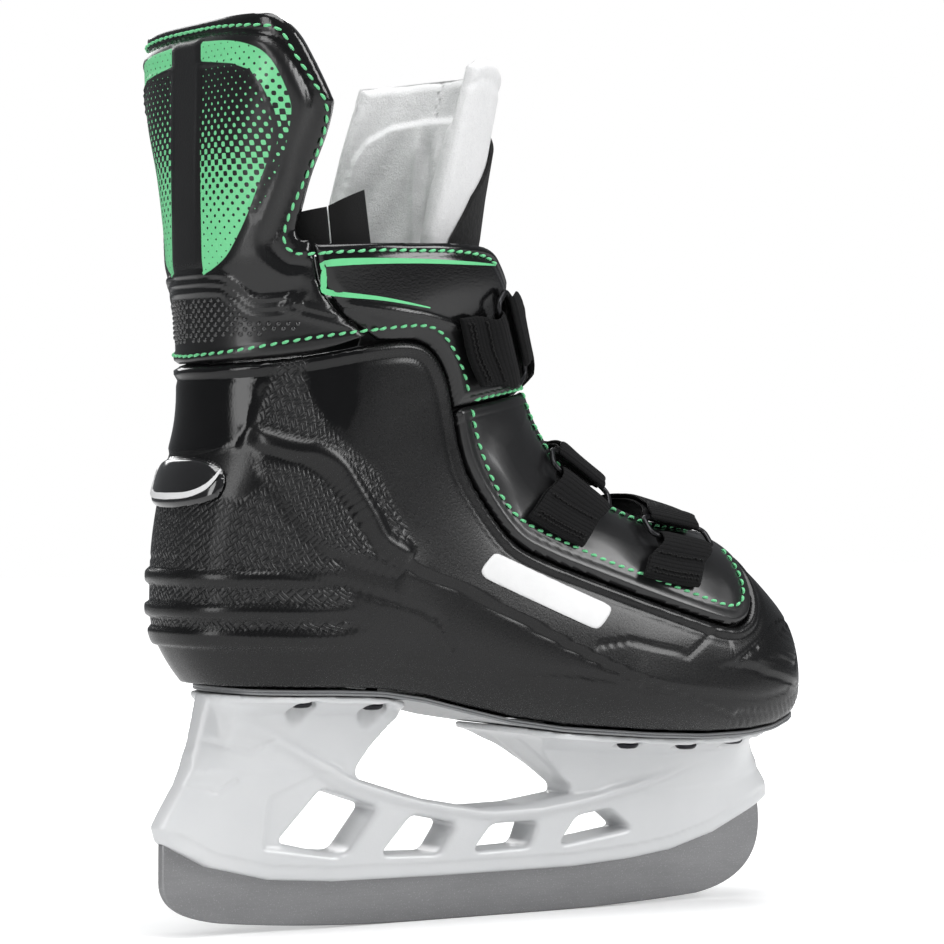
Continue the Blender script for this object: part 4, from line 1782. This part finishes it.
def area_light(name, place, target, size, power):
    data = bpy.data.lights.new(name, "AREA")
    data.shape = "RECTANGLE"
    data.size, data.size_y = size
    data.energy = power
    obj = bpy.data.objects.new(name, data)
    bpy.context.scene.collection.objects.link(obj)
    obj.location = place
    obj.rotation_euler = (Vector(target) - Vector(place)).to_track_quat("-Z", "Y").to_euler()


def build_studio():
    p = Paint("floor_paper", Roughness=0.9)
    away = p.node("VectorMath", {"operation": "LENGTH"}, Vector=p.place()).outputs["Value"]
    seen = p.math("MULTIPLY", p.node("LightPath").outputs["Is Camera Ray"],
                  p.ramp(away, 0.15, 0.9, 0.25, 1.0))
    p.set(Base_Color=p.mix(p.noise(40), (0.86, 0.86, 0.86), (0.89, 0.89, 0.89)),
          Emission_Color=(1.0, 1.0, 1.0), Emission_Strength=seen)
    turns = ((-1, -1), (1, -1), (1, 1), (-1, 1))
    corners = [[u * FLOOR_HALF, v * FLOOR_HALF, FLOOR_LEVEL] for u, v in turns]
    floor = new_mesh("floor", corners, [[0, 1, 2, 3]], smooth=False)
    floor.data.materials.append(p.material)

    bpy.context.scene.view_settings.view_transform = "Standard"
    world = bpy.data.worlds.new("studio")
    bpy.context.scene.world = world
    world.use_nodes = True
    nodes, links = world.node_tree.nodes, world.node_tree.links
    seen, ambient = nodes["Background"], nodes.new("ShaderNodeBackground")
    seen.inputs["Color"].default_value = (1, 1, 1, 1)
    seen.inputs["Strength"].default_value = 1.0
    ambient.inputs["Color"].default_value = (0.93, 0.96, 1.0, 1)
    ambient.inputs["Strength"].default_value = 0.16
    mix, path = nodes.new("ShaderNodeMixShader"), nodes.new("ShaderNodeLightPath")
    links.new(path.outputs["Is Camera Ray"], mix.inputs["Fac"])
    links.new(ambient.outputs[0], mix.inputs[1])
    links.new(seen.outputs[0], mix.inputs[2])
    links.new(mix.outputs[0], nodes["World Output"].inputs["Surface"])

    area_light("top", (-0.1, -0.15, 1.2), LOOK_AT, (0.8, 0.8), 13)
    area_light("key", (0.75, -1.05, 0.75), LOOK_AT, (0.5, 0.8), 12)
    area_light("fill", (-1.2, -0.35, 0.45), LOOK_AT, (0.4, 0.9), 6)
    area_light("back", (0.2, 1.1, 0.7), LOOK_AT, (0.9, 0.5), 5)

    data = bpy.data.cameras.new("camera")
    data.sensor_width = 36
    data.lens = CAMERA_LENS
    camera = bpy.data.objects.new("camera", data)
    bpy.context.scene.collection.objects.link(camera)
    camera.location = CAMERA_PLACE
    camera.rotation_euler = (math.pi / 2, 0, math.radians(CAMERA_TURN))
    bpy.context.scene.camera = camera


def build_fasteners():
    """The runner's screws are the CAD's own solids, in steel."""
    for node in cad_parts.values():
        if not node.hide_render:
            node.data.materials.clear()
            node.data.materials.append(FASTENER)


# ---------------------------------------------------------------- the skate
build_shell()
build_guard()
build_uppers()
build_trim()
build_stitches()
build_prints()
build_bumps()
build_holder()
build_runner()
build_inside()
build_straps()
build_tongue()
build_labels()
build_fasteners()
build_studio()
